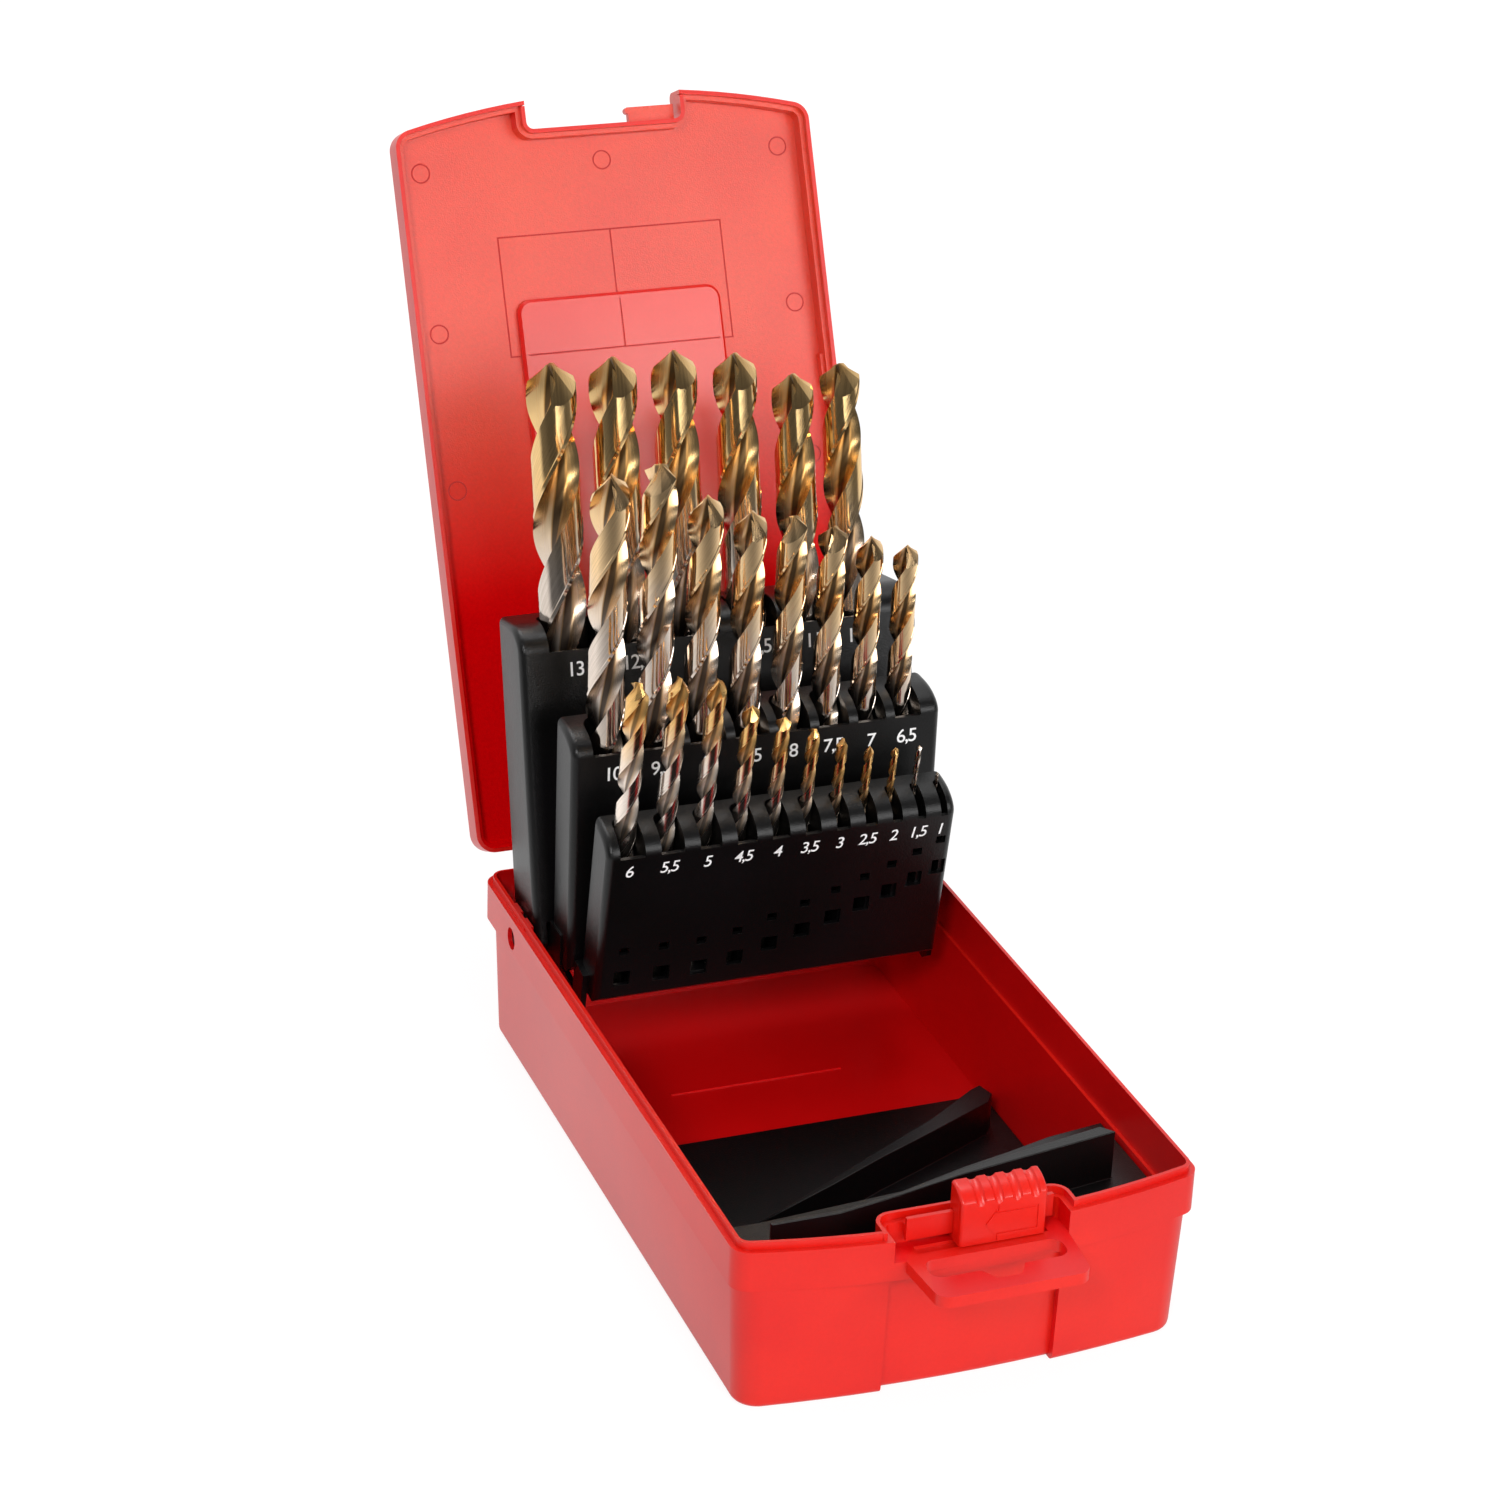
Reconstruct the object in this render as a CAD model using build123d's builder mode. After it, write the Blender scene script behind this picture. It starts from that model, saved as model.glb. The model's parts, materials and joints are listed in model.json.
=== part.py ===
from build123d import *
import math
import os

# A drill bit case: a tray and a hinged lid, with three stepped bit holders that
# turn about one common axis and stand up when the lid opens.
# X runs to the right, Y to the back (the hinge side), Z up. The origin is on the
# tray's flat bottom face, midway between its sides, its front corners and its back.
# The case is modelled open, with the latch in its locked place. Millimetres.

# Case outline seen from above: straight sides and back, a front that bows outward
case_half_width = 58.7
case_half_depth = 96.0
front_bow = 7.6
corner_radius = 5.0

# Drafted body below the band; its front bows less and its middle is a set-back panel
band_step = 1.2
body_front_step = 2.5
body_front_bow = 4.3
body_corner_radius = 6.5
draft_angle = 2.2
foot_edge_radius = 2.0
front_panel_half_width = 22.0
front_panel_depth = 2.0

# Tray
tray_height = 44.0
band_height = 10.5
wall = 2.0
floor_thickness = 1.8
rim_thickness = 2.3
lip_height = 1.9
lip_inset = 1.4
back_lip_inset = 1.7
floor_rib = (48.0, 0.8, 0.4)
floor_rib_y = 40.5

# Latch notch in the middle of the front, with a shallow guide slot in its floor
notch_half_width = 22.0
notch_depth = 8.7
notch_drop = 5.6
notch_floor_thickness = 2.0
notch_corner_radius = 2.0
guide_left, guide_right = -15.2, 17.5
guide_width = 3.1
guide_depth = 0.8

# Rail for the latch slider
rail_left, rail_right = -17.0, 20.0
rail_foot_gap = 1.8
rail_rise = 2.0
rail_neck_depth = 1.2
rail_head_depth = 1.1
rail_neck_margin = 1.2

# Hanger loop
hanger_centre = 1.4
hanger_thickness = 3.0
hanger_reach = 15.8
hanger_root_half_width = 20.6
hanger_tip_half_width = 19.0
hanger_corner_radius = 3.5
hanger_slot_half_width = 17.2
hanger_slot_setback = 0.3
hanger_slot_width = 7.4
hanger_slot_end_radius = 3.0
hook_half_width = 5.5
hook_depth = 4.0
hook_radius = 2.0

# Lid
lid_opening_angle = 114.6
lid_gap = 0.2
lid_depth = 8.5
lid_panel = 2.0
lid_rim_thickness = 2.3
lid_rebate_wall = 1.1
lid_edge_radius = 2.0
plateau_half_width = 29.0
plateau_front, plateau_back = -50.0, 54.0
plateau_height = 2.0
plateau_radius = 4.0
plateau_edge = 0.8
mark_radius = 2.65
mark_depth = 0.2
mark_side_inset = 7.7
mark_front_inset = 10.0
mark_rows = (-43.0, -1.0)
insert_mark = (64.0, 32.5)
insert_mark_y = -51.2
insert_mark_line = 0.4
side_tab = (0.9, 9.0, 3.0)
side_tab_y = {"right": -23.5, "left": 6.0}

# Lug on the lid, which the latch slider holds down
lug_left, lug_right = 8.0, 21.0
lug_reach = 4.3
lug_thickness = 2.0
lug_rise = 3.5
lug_nib_radius = 0.9

# Lid hinges
hinge_station = 36.0
hinge_rise = 1.0
knuckle_radius = 2.9
knuckle_gap = 0.3
ear_foot = 3.3
ear_slant = 0.7
lid_knuckle_width = 7.4
tray_knuckle_width = 6.0
hinge_pin_radius = 1.25
pin_fit = 0.05

# Latch slider
slider_left, slider_right = -5.4, 16.4
slider_depth = 6.3
slider_wall_gap = 0.25
slider_gap = 0.3
slider_rise = 9.2
slider_crown_radius = 8.0
slider_edge_radius = 0.8
grip_grooves = 4
grip_groove_first = 4.9
grip_groove_pitch = 4.6
grip_groove_radius = 1.5
grip_groove_depth = 0.7
grip_groove_arc = 62.0
arrow_tip = (6.0, 5.0)
arrow_length = 13.6
arrow_head = (3.5, 4.75)
arrow_shaft_half_height = 3.1
arrow_line = 0.5
arrow_depth = 0.25

# Common axis of the holders, and the pads that carry it
axis_setback = 25.0
axis_drop = 6.0
pivot_radius = 2.95
boss_wall = 1.25
pad_half_length = 7.0
pad_below_axis = 5.0
pad_above_rim = 0.5
pad_slot_margin = 0.55

# Holders: how much narrower than the large one, tilt towards the front, then the profile
# in the holder's own frame, where "forward" is measured from the axis and "up" runs along the bits
holders = {
    "large": dict(side_inset=0.0, tilt=-12.5, back=-10.3, front=8.1, bottom=-2.2,
                  top=83.7, flat_end=-0.5, shoulder=76.9, row=-0.93, row_shift=-0.6),
    "medium": dict(side_inset=4.1, tilt=0.0, back=8.3, front=22.3, bottom=-0.2,
                   top=66.8, flat_end=12.0, shoulder=61.3, row=15.0, row_shift=0.0),
    "small": dict(side_inset=7.0, tilt=9.5, back=22.5, front=34.7, bottom=2.4,
                  top=53.6, flat_end=25.5, shoulder=48.2, row=27.2, row_shift=0.5),
}
holder_side_gap = 0.5
pad_side_inset = 0.1
holder_edge_radius = 2.0
holder_toe_chamfer = 2.0
front_wall = 1.2
pocket_clearance = 0.375
seat_gap = 0.1

# Drill bits: diameter, total length, height of the tip above the common axis
bits = {
    "large": ((13.0, 151, 150.1), (12.5, 151, 150.2), (12.0, 151, 150.4),
              (11.5, 142, 148.2), (11.0, 142, 141.3), (10.5, 133, 142.8)),
    "medium": ((10.0, 133, 134.4), (9.5, 125, 136.1), (9.0, 125, 126.1), (8.5, 117, 120.6),
               (8.0, 117, 118.2), (7.5, 109, 114.0), (7.0, 109, 110.0), (6.5, 101, 106.4)),
    "small": ((6.0, 93, 96.6), (5.5, 93, 96.6), (5.0, 86, 94.4), (4.5, 80, 85.2),
              (4.0, 75, 80.4), (3.5, 70, 75.7), (3.0, 61, 71.6), (2.5, 57, 67.9),
              (2.0, 49, 66.3), (1.5, 40, 66.0), (1.0, 34, 56.7)),
}
webs = {
    "large": (3.9, 4.4, 4.95, 4.55, 2.65),
    "medium": (3.25,) * 7,
    "small": (4.97,) * 10,
}
point_angle = 118.0

# Arms that carry the holders on the common axis, each beside the next
cheek_thickness = 3.3
medium_arm_thickness = 1.4
small_arm_thickness = 1.5
arm_side_gap = 0.3
cheek_recess_gap = 0.4
recess_above_boss = 1.3
cheek_boss_margin = 0.4
arm_gap = 0.35
foot_depth = 6.9

# Square windows in the front of the small holder, one pair below each label
window_size = 4.4
upper_window = (2.6, 2.2)
window_first_up = 10.2
window_rise = 2.9
window_level_count = 4
window_pitch_up = 8.7

# Tip rest: places across the case are measured from its middle, places along it from its front corners
rest_gap = 0.3
rest_seat_gap = 0.05
rest_plate = 1.0
rest_plate_back = 111.0
rest_skirt = 1.2
shelf_drop = 12.0
shelf_thickness = 1.4
shelf_edge_left, shelf_edge_right = 28.2, 46.0
shelf_edge = ((-41, 28.1), (-4.5, 30.9), (14.7, 36.7), (27.3, 39.7), (39.9, 43.2))
fin_top = 12.6
fin_front = ((-52, 46), (-29, 56.4), (-6.5, 66.9), (9.8, 75.1), (27.3, 83.0), (46.7, 92.2), (49.4, 95.8))
fin_back = ((48, 100.8), (45, 99.5), (30, 89.3), (11.5, 79.2), (-5.4, 69.6), (-29, 56.8), (-52, 47))
rest_wall_rise = 1.0
rest_wall_front = ((-47, 7.4), (-30, 7.4), (-13.7, 10.4), (4.8, 14.7), (46.7, 21.3))
rest_wall_back = ((44, 24.6), (4.8, 16.7), (-13.7, 11.7), (-30, 8.6), (-47, 8.6))


# ---- worked-out sizes ----
draft_slope = math.tan(math.radians(draft_angle))
band_bottom = tray_height - band_height
lip_top = tray_height + lip_height
lid_bottom = tray_height + lid_gap
lid_top = lid_bottom + lid_depth
panel_z = lid_top - lid_panel
lug_z = lid_bottom + lug_rise

band_front = case_half_depth + front_bow
notch_wall_y = notch_depth - band_front
notch_floor_z = tray_height - notch_drop
rail_bottom, rail_top = notch_floor_z + rail_foot_gap, tray_height + rail_rise
rail_head_back = notch_wall_y - rail_neck_depth
hanger_tip_y = -band_front - hanger_reach
hanger_slot_back = -band_front - hanger_slot_setback

slider_back = notch_wall_y - slider_wall_gap
slider_front = slider_back - slider_depth
slider_bottom, slider_top = notch_floor_z + slider_gap, tray_height + slider_rise

hinge_y = case_half_depth + knuckle_radius + knuckle_gap
hinge_z = lid_bottom + hinge_rise

axis_y = case_half_depth - axis_setback
axis_z = tray_height - axis_drop
pad_inner = case_half_width - band_step - wall - holder_side_gap - pad_side_inset
holder_half_width = pad_inner - holder_side_gap
cheek_inner = holder_half_width - cheek_thickness
boss_radius = pivot_radius + boss_wall
cheek_recess_top = boss_radius + recess_above_boss
medium_arm_outer = cheek_inner - arm_side_gap
medium_arm_inner = medium_arm_outer - medium_arm_thickness
small_arm_outer = medium_arm_inner - arm_side_gap
small_arm_inner = small_arm_outer - small_arm_thickness
cheek_recess_inner = small_arm_inner - cheek_recess_gap

mark_places = [(x, mark_front_inset - case_half_depth) for x in (mark_side_inset - case_half_width, 0,
                                                                  case_half_width - mark_side_inset)]
mark_places += [(x, y) for y in mark_rows for x in (mark_side_inset - case_half_width,
                                                    case_half_width - mark_side_inset)]

rest_bottom = floor_thickness + rest_seat_gap
shelf_top = tray_height - shelf_drop
rest_wall_top = tray_height + rest_wall_rise


def bow(half_width, middle, rise):
    # Radius and centre of a front that bows outward by a rise and reaches -middle halfway
    radius = (half_width**2 + rise**2) / (2 * rise)
    return radius, radius - middle


band_bow = bow(case_half_width, band_front, front_bow)
body_bow = bow(case_half_width - band_step, band_front - body_front_step, body_front_bow)


def front_y(x, inset=0.0, arc=band_bow):
    radius, centre = arc
    return centre - math.sqrt((radius - inset)**2 - x**2)


def bowed_outline(half, back, inset, arc, corner):
    front = front_y(half, inset, arc)
    with BuildSketch(mode=Mode.PRIVATE) as outline:
        with BuildLine():
            Polyline((-half, front), (-half, back), (half, back), (half, front))
            ThreePointArc((half, front), (0, front_y(0, inset, arc)), (-half, front))
        make_face()
        fillet(outline.vertices(), corner)
    return outline.sketch


def case_outline(inset, back_inset=None):
    # The band and the lid, drawn in all round
    back = case_half_depth - (inset if back_inset is None else back_inset)
    return bowed_outline(case_half_width - inset, back, inset, band_bow, corner_radius - inset)


def body_outline(z, depth=0.0):
    # The drafted body below the band at height z, drawn in by a depth
    inset = depth + (band_bottom - z) * draft_slope
    return bowed_outline(case_half_width - band_step - inset, case_half_depth - band_step - inset, inset,
                         body_bow, body_corner_radius - depth)


def drafted_block(bottom, top, depth, foot=0.0):
    # The drafted body between two heights, drawn in by a depth, without its front panel
    with BuildPart(mode=Mode.PRIVATE) as block:
        with BuildSketch(Plane.XY.offset(bottom)):
            add(body_outline(bottom, depth))
        extrude(amount=top - bottom, taper=-draft_angle)
        if foot:
            fillet(block.faces().sort_by(Axis.Z)[0].edges(), foot)
    return block.part


def panel_space(bottom, top, depth, foot=0.0):
    # What the set-back front panel leaves open before a wall drawn in by a depth
    set_back = drafted_block(bottom, top, depth + front_panel_depth, foot)
    with BuildPart(mode=Mode.PRIVATE) as space:
        with BuildSketch(Plane.XY.offset(bottom)):
            with Locations((0, -case_half_depth / 2)):
                Rectangle(2 * (front_panel_half_width + depth), 2 * case_half_depth,
                          align=(Align.CENTER, Align.MAX))
        extrude(amount=top - bottom)
        add(set_back, mode=Mode.SUBTRACT)
    return space.part


def notch_outline(grow, front=-2 * band_front):
    # The latch notch seen from above, grown all round, from its back to a front line
    half, back = notch_half_width + grow, notch_wall_y + grow
    with BuildSketch(mode=Mode.PRIVATE) as outline:
        with Locations((0, back)):
            Rectangle(2 * half, back - front, align=(Align.CENTER, Align.MAX))
        fillet(outline.vertices().group_by(Axis.Y)[-1], notch_corner_radius + grow)
    return outline.sketch


def turned_frame(angle, y, z):
    # The world frame turned about the line through (y, z) along X; positive leans it forward
    turn = math.radians(angle)
    up = Vector(0, -math.sin(turn), math.cos(turn))
    back = Vector(0, math.cos(turn), math.sin(turn))
    corner = Vector(0, y, z) - back * y - up * z
    return Plane(origin=corner, x_dir=(1, 0, 0), z_dir=up)


def side_plane(frame, x):
    # Local axes are the frame's Y and Z, looking along X
    return Plane(origin=frame.from_local_coords((x, 0, 0)), x_dir=frame.y_dir, z_dir=frame.x_dir)


def mirrored(low, high):
    return ((low, high), (-high, -low))


lid_frame = turned_frame(-lid_opening_angle, hinge_y, hinge_z)


# ---- tray ----
with BuildPart() as base_tray:
    add(drafted_block(0, band_bottom, 0, foot_edge_radius))
    add(panel_space(0, band_bottom, 0, foot_edge_radius), mode=Mode.SUBTRACT)

    with BuildSketch(Plane.XY.offset(band_bottom)):
        add(case_outline(0))
    extrude(amount=band_height)
    with BuildSketch(Plane.XY.offset(tray_height)):
        add(case_outline(lip_inset, back_lip_inset))
    extrude(amount=lip_height)

    # inside of the tray, with a ledge where the band begins
    cavity = drafted_block(floor_thickness, band_bottom, wall)
    cavity -= panel_space(floor_thickness, band_bottom, wall)
    add(cavity, mode=Mode.SUBTRACT)
    with BuildSketch(Plane.XY.offset(band_bottom)):
        add(case_outline(rim_thickness))
    extrude(amount=lip_top - band_bottom, mode=Mode.SUBTRACT)

    # latch notch: a set-back wall, a floor and the open space before it
    notch_block_half = notch_half_width + rim_thickness
    notch_block_front = front_y(notch_block_half, rim_thickness / 2)
    with BuildSketch(Plane.XY.offset(notch_floor_z - notch_floor_thickness)):
        add(notch_outline(rim_thickness, notch_block_front))
    extrude(amount=lip_top - notch_floor_z + notch_floor_thickness)
    # the ledge over the set-back front panel reaches up to the notch floor
    panel_inner_y = front_y(0, wall + front_panel_depth, body_bow)
    with BuildSketch(Plane.XY.offset(band_bottom)):
        with Locations((0, panel_inner_y)):
            Rectangle(2 * notch_block_half, panel_inner_y - notch_block_front, align=(Align.CENTER, Align.MAX))
    extrude(amount=notch_floor_z - notch_floor_thickness / 2 - band_bottom)
    with BuildSketch(Plane.XY.offset(notch_floor_z)):
        add(notch_outline(0))
    extrude(amount=lip_top, mode=Mode.SUBTRACT)
    # the set-back wall narrows to the lip, as the rest of the rim does
    with BuildSketch(Plane.XY.offset(tray_height)):
        add(notch_outline(lip_inset))
    extrude(amount=lip_top, mode=Mode.SUBTRACT)

    # T-shaped rail for the latch slider
    with BuildSketch(side_plane(Plane.XY, rail_left)):
        with Locations((rail_head_back, rail_bottom)):
            Rectangle(rail_head_depth, rail_top - rail_bottom, align=(Align.MAX, Align.MIN))
        with Locations((notch_wall_y + rim_thickness / 2, rail_bottom + rail_neck_margin)):
            Rectangle(
                rim_thickness / 2 + rail_neck_depth + rail_head_depth / 2,
                tray_height - rail_bottom - rail_neck_margin,
                align=(Align.MAX, Align.MIN),
            )
    extrude(amount=rail_right - rail_left)
    with BuildSketch(Plane.XY.offset(notch_floor_z)):
        with Locations((guide_left, rail_head_back - rail_head_depth - slider_gap)):
            Rectangle(guide_right - guide_left, guide_width, align=(Align.MIN, Align.MAX))
    extrude(amount=-guide_depth, mode=Mode.SUBTRACT)

    # hanger loop, with a deeper hook place in the middle of its slot
    with BuildSketch(Plane.XY.offset(notch_floor_z - hanger_thickness)) as loop:
        with BuildLine():
            Polyline(
                (hanger_centre - hanger_root_half_width, notch_block_front),
                (hanger_centre + hanger_root_half_width, notch_block_front),
                (hanger_centre + hanger_tip_half_width, hanger_tip_y),
                (hanger_centre - hanger_tip_half_width, hanger_tip_y),
                close=True,
            )
        make_face()
        fillet(loop.vertices().group_by(Axis.Y)[0], hanger_corner_radius)
    extrude(amount=hanger_thickness)
    with BuildSketch(Plane.XY.offset(notch_floor_z - hanger_thickness)) as loop_slot:
        with Locations((hanger_centre, hanger_slot_back)):
            Rectangle(2 * hanger_slot_half_width, hanger_slot_width, align=(Align.CENTER, Align.MAX))
        fillet(loop_slot.vertices(), hanger_slot_end_radius)
        with Locations((hanger_centre, hanger_slot_back - hanger_slot_width)):
            Trapezoid(2 * hook_half_width, hook_depth, 60, rotation=180, align=(Align.CENTER, Align.MIN))
        fillet(loop_slot.vertices().group_by(Axis.Y)[0], hook_radius)
    extrude(amount=hanger_thickness, mode=Mode.SUBTRACT)

    # pads around the pivot holes, slotted from the top so that the pins can be pushed in
    for pad_from, pad_to in mirrored(pad_inner, case_half_width - rim_thickness / 2):
        with BuildSketch(side_plane(Plane.XY, pad_from)):
            with Locations((axis_y, axis_z - pad_below_axis)):
                Rectangle(2 * pad_half_length, tray_height + pad_above_rim - axis_z + pad_below_axis,
                          align=(Align.CENTER, Align.MIN))
        extrude(amount=pad_to - pad_from)
    for slot_from, slot_to in mirrored(pad_inner, case_half_width - rim_thickness):
        with BuildSketch(side_plane(Plane.XY, slot_from)):
            with Locations((axis_y, axis_z)):
                Rectangle(pivot_radius + pad_slot_margin, tray_height, align=(Align.CENTER, Align.MIN))
        extrude(amount=slot_to - slot_from, mode=Mode.SUBTRACT)
    with BuildSketch(side_plane(Plane.XY, 0)):
        with Locations((axis_y, axis_z)):
            Circle(pivot_radius + pin_fit)
    extrude(amount=case_half_width, both=True, mode=Mode.SUBTRACT)

    # low rib across the floor
    with BuildSketch(Plane.XY.offset(floor_thickness - floor_rib[2] / 2)):
        with Locations((0, floor_rib_y)):
            Rectangle(floor_rib[0], floor_rib[1])
    extrude(amount=1.5 * floor_rib[2])

    # hinge ears behind the band
    ear_start = lid_knuckle_width / 2 + knuckle_gap
    for station in (-hinge_station, hinge_station):
        for ear_left in (station + ear_start, station - ear_start - tray_knuckle_width):
            with BuildSketch(side_plane(Plane.XY, ear_left)):
                with Locations((hinge_y, hinge_z)):
                    Circle(knuckle_radius)
                with BuildLine():
                    Polyline(
                        (case_half_depth - rim_thickness / 2, hinge_z - ear_foot * knuckle_radius),
                        (case_half_depth - rim_thickness / 2, tray_height - lid_gap),
                        (hinge_y, tray_height - lid_gap),
                        (hinge_y + ear_slant * knuckle_radius, hinge_z - ear_slant * knuckle_radius),
                        close=True,
                    )
                make_face()
                with Locations((hinge_y, hinge_z)):
                    Circle(hinge_pin_radius + pin_fit, mode=Mode.SUBTRACT)
            extrude(amount=tray_knuckle_width)


# ---- lid, drawn in its shut place and turned open about the hinge ----
lid_up = Axis(lid_frame.origin, lid_frame.z_dir)


def insert_lines():
    # Where the mould's insert met the rest of it: a rectangle with a line down its middle
    with BuildSketch(mode=Mode.PRIVATE) as lines:
        with Locations((0, insert_mark_y)):
            Rectangle(*insert_mark)
            Rectangle(insert_mark[0] - 2 * insert_mark_line, insert_mark[1] - 2 * insert_mark_line,
                      mode=Mode.SUBTRACT)
            Rectangle(insert_mark_line, insert_mark[1])
    return lines.sketch


with BuildPart() as lid:
    with BuildSketch(lid_frame.offset(lid_bottom)):
        add(case_outline(0))
    extrude(amount=lid_depth)
    fillet(lid.faces().sort_by(lid_up)[-1].edges(), lid_edge_radius)
    with BuildSketch(lid_frame.offset(lid_bottom)):
        add(case_outline(lid_rim_thickness))
    extrude(amount=panel_z - lid_bottom, mode=Mode.SUBTRACT)
    with BuildSketch(lid_frame.offset(lid_bottom)):
        add(case_outline(lid_rebate_wall))
    extrude(amount=lip_top - lid_bottom + lid_gap, mode=Mode.SUBTRACT)

    # moulding marks in the inside face
    with BuildSketch(lid_frame.offset(panel_z)):
        with Locations(*mark_places):
            Circle(mark_radius)
            Circle(mark_radius - insert_mark_line, mode=Mode.SUBTRACT)
        add(insert_lines())
    extrude(amount=mark_depth, mode=Mode.SUBTRACT)

    # plateau on the inside with a bevelled edge, sunk label field on the outside
    plateau_middle = (plateau_front + plateau_back) / 2
    plateau_face = lid_frame.offset(panel_z - plateau_height)
    with BuildSketch(lid_frame.offset(panel_z - plateau_height + plateau_edge)):
        with Locations((0, plateau_middle)):
            RectangleRounded(2 * plateau_half_width, plateau_back - plateau_front, plateau_radius)
    extrude(amount=plateau_height - plateau_edge + lid_panel / 2)
    with BuildSketch(plateau_face):
        with Locations((0, plateau_middle)):
            RectangleRounded(2 * (plateau_half_width - plateau_edge),
                             plateau_back - plateau_front - 2 * plateau_edge, plateau_radius - plateau_edge)
    extrude(amount=plateau_edge, taper=-45)
    with BuildSketch(plateau_face):
        with Locations((0, plateau_middle)):
            RectangleRounded(2 * (plateau_half_width - 2 * plateau_edge),
                             plateau_back - plateau_front - 4 * plateau_edge, plateau_radius - plateau_edge)
        add(insert_lines(), mode=Mode.INTERSECT)
    extrude(amount=mark_depth, mode=Mode.SUBTRACT)
    with BuildSketch(lid_frame.offset(lid_top - plateau_height)):
        with Locations((0, plateau_middle)):
            RectangleRounded(2 * plateau_half_width - 2 * wall, plateau_back - plateau_front - 2 * wall,
                             plateau_radius)
    extrude(amount=plateau_height, mode=Mode.SUBTRACT)

    # set-back wall behind the latch notch, with its own rebate for the tray's lip
    lid_block_front = front_y(notch_block_half, lid_rim_thickness / 2)
    with BuildSketch(lid_frame.offset(lid_bottom)):
        add(notch_outline(lid_rim_thickness, lid_block_front))
    extrude(amount=panel_z - lid_bottom + lid_panel / 2)
    with BuildSketch(lid_frame.offset(lid_bottom)):
        add(notch_outline(0))
    extrude(amount=lid_depth, mode=Mode.SUBTRACT)
    with BuildSketch(lid_frame.offset(lid_bottom)):
        add(notch_outline(lid_rim_thickness, lid_block_front))
        add(notch_outline(lid_rebate_wall), mode=Mode.SUBTRACT)
    extrude(amount=lip_top - lid_bottom + lid_gap, mode=Mode.SUBTRACT)

    # lug that the latch slider holds down
    with BuildSketch(lid_frame.offset(lug_z)):
        with Locations((lug_left, notch_wall_y + lid_rebate_wall / 2)):
            Rectangle(lug_right - lug_left, lug_reach + lid_rebate_wall / 2, align=(Align.MIN, Align.MAX))
        with Locations((lug_left, notch_wall_y - lug_reach + lug_nib_radius)):
            Circle(lug_nib_radius)
    extrude(amount=lug_thickness)

    # small tabs on the side walls
    for edge, tab_y in side_tab_y.items():
        with BuildSketch(lid_frame.offset(panel_z - side_tab[2])):
            with Locations(((case_half_width - lid_rim_thickness) * (1 if edge == "right" else -1), tab_y)):
                Rectangle(2 * side_tab[0], side_tab[1])
        extrude(amount=side_tab[2])

    # hinge knuckles
    for station in (-hinge_station, hinge_station):
        with BuildSketch(side_plane(lid_frame, station - lid_knuckle_width / 2)):
            with Locations((hinge_y, hinge_z)):
                Circle(knuckle_radius)
            with BuildLine():
                Polyline(
                    (case_half_depth - lid_rim_thickness / 2, hinge_z - lid_gap),
                    (case_half_depth - lid_rim_thickness / 2, lid_top - lid_edge_radius),
                    (case_half_depth, lid_top - lid_edge_radius),
                    (hinge_y + ear_slant * knuckle_radius, hinge_z + ear_slant * knuckle_radius),
                    (hinge_y, hinge_z - lid_gap),
                    close=True,
                )
            make_face()
            with Locations((hinge_y, hinge_z)):
                Circle(hinge_pin_radius + pin_fit, mode=Mode.SUBTRACT)
        extrude(amount=lid_knuckle_width)


# ---- hinge pins ----
hinge_pin_length = lid_knuckle_width + 2 * (knuckle_gap + tray_knuckle_width)
hinge_pins = {}
for side, station in (("left", -hinge_station), ("right", hinge_station)):
    with BuildPart() as hinge_pin:
        with BuildSketch(side_plane(Plane.XY, station - hinge_pin_length / 2)):
            with Locations((hinge_y, hinge_z)):
                Circle(hinge_pin_radius)
        extrude(amount=hinge_pin_length)
    hinge_pins[side] = hinge_pin.part


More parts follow.
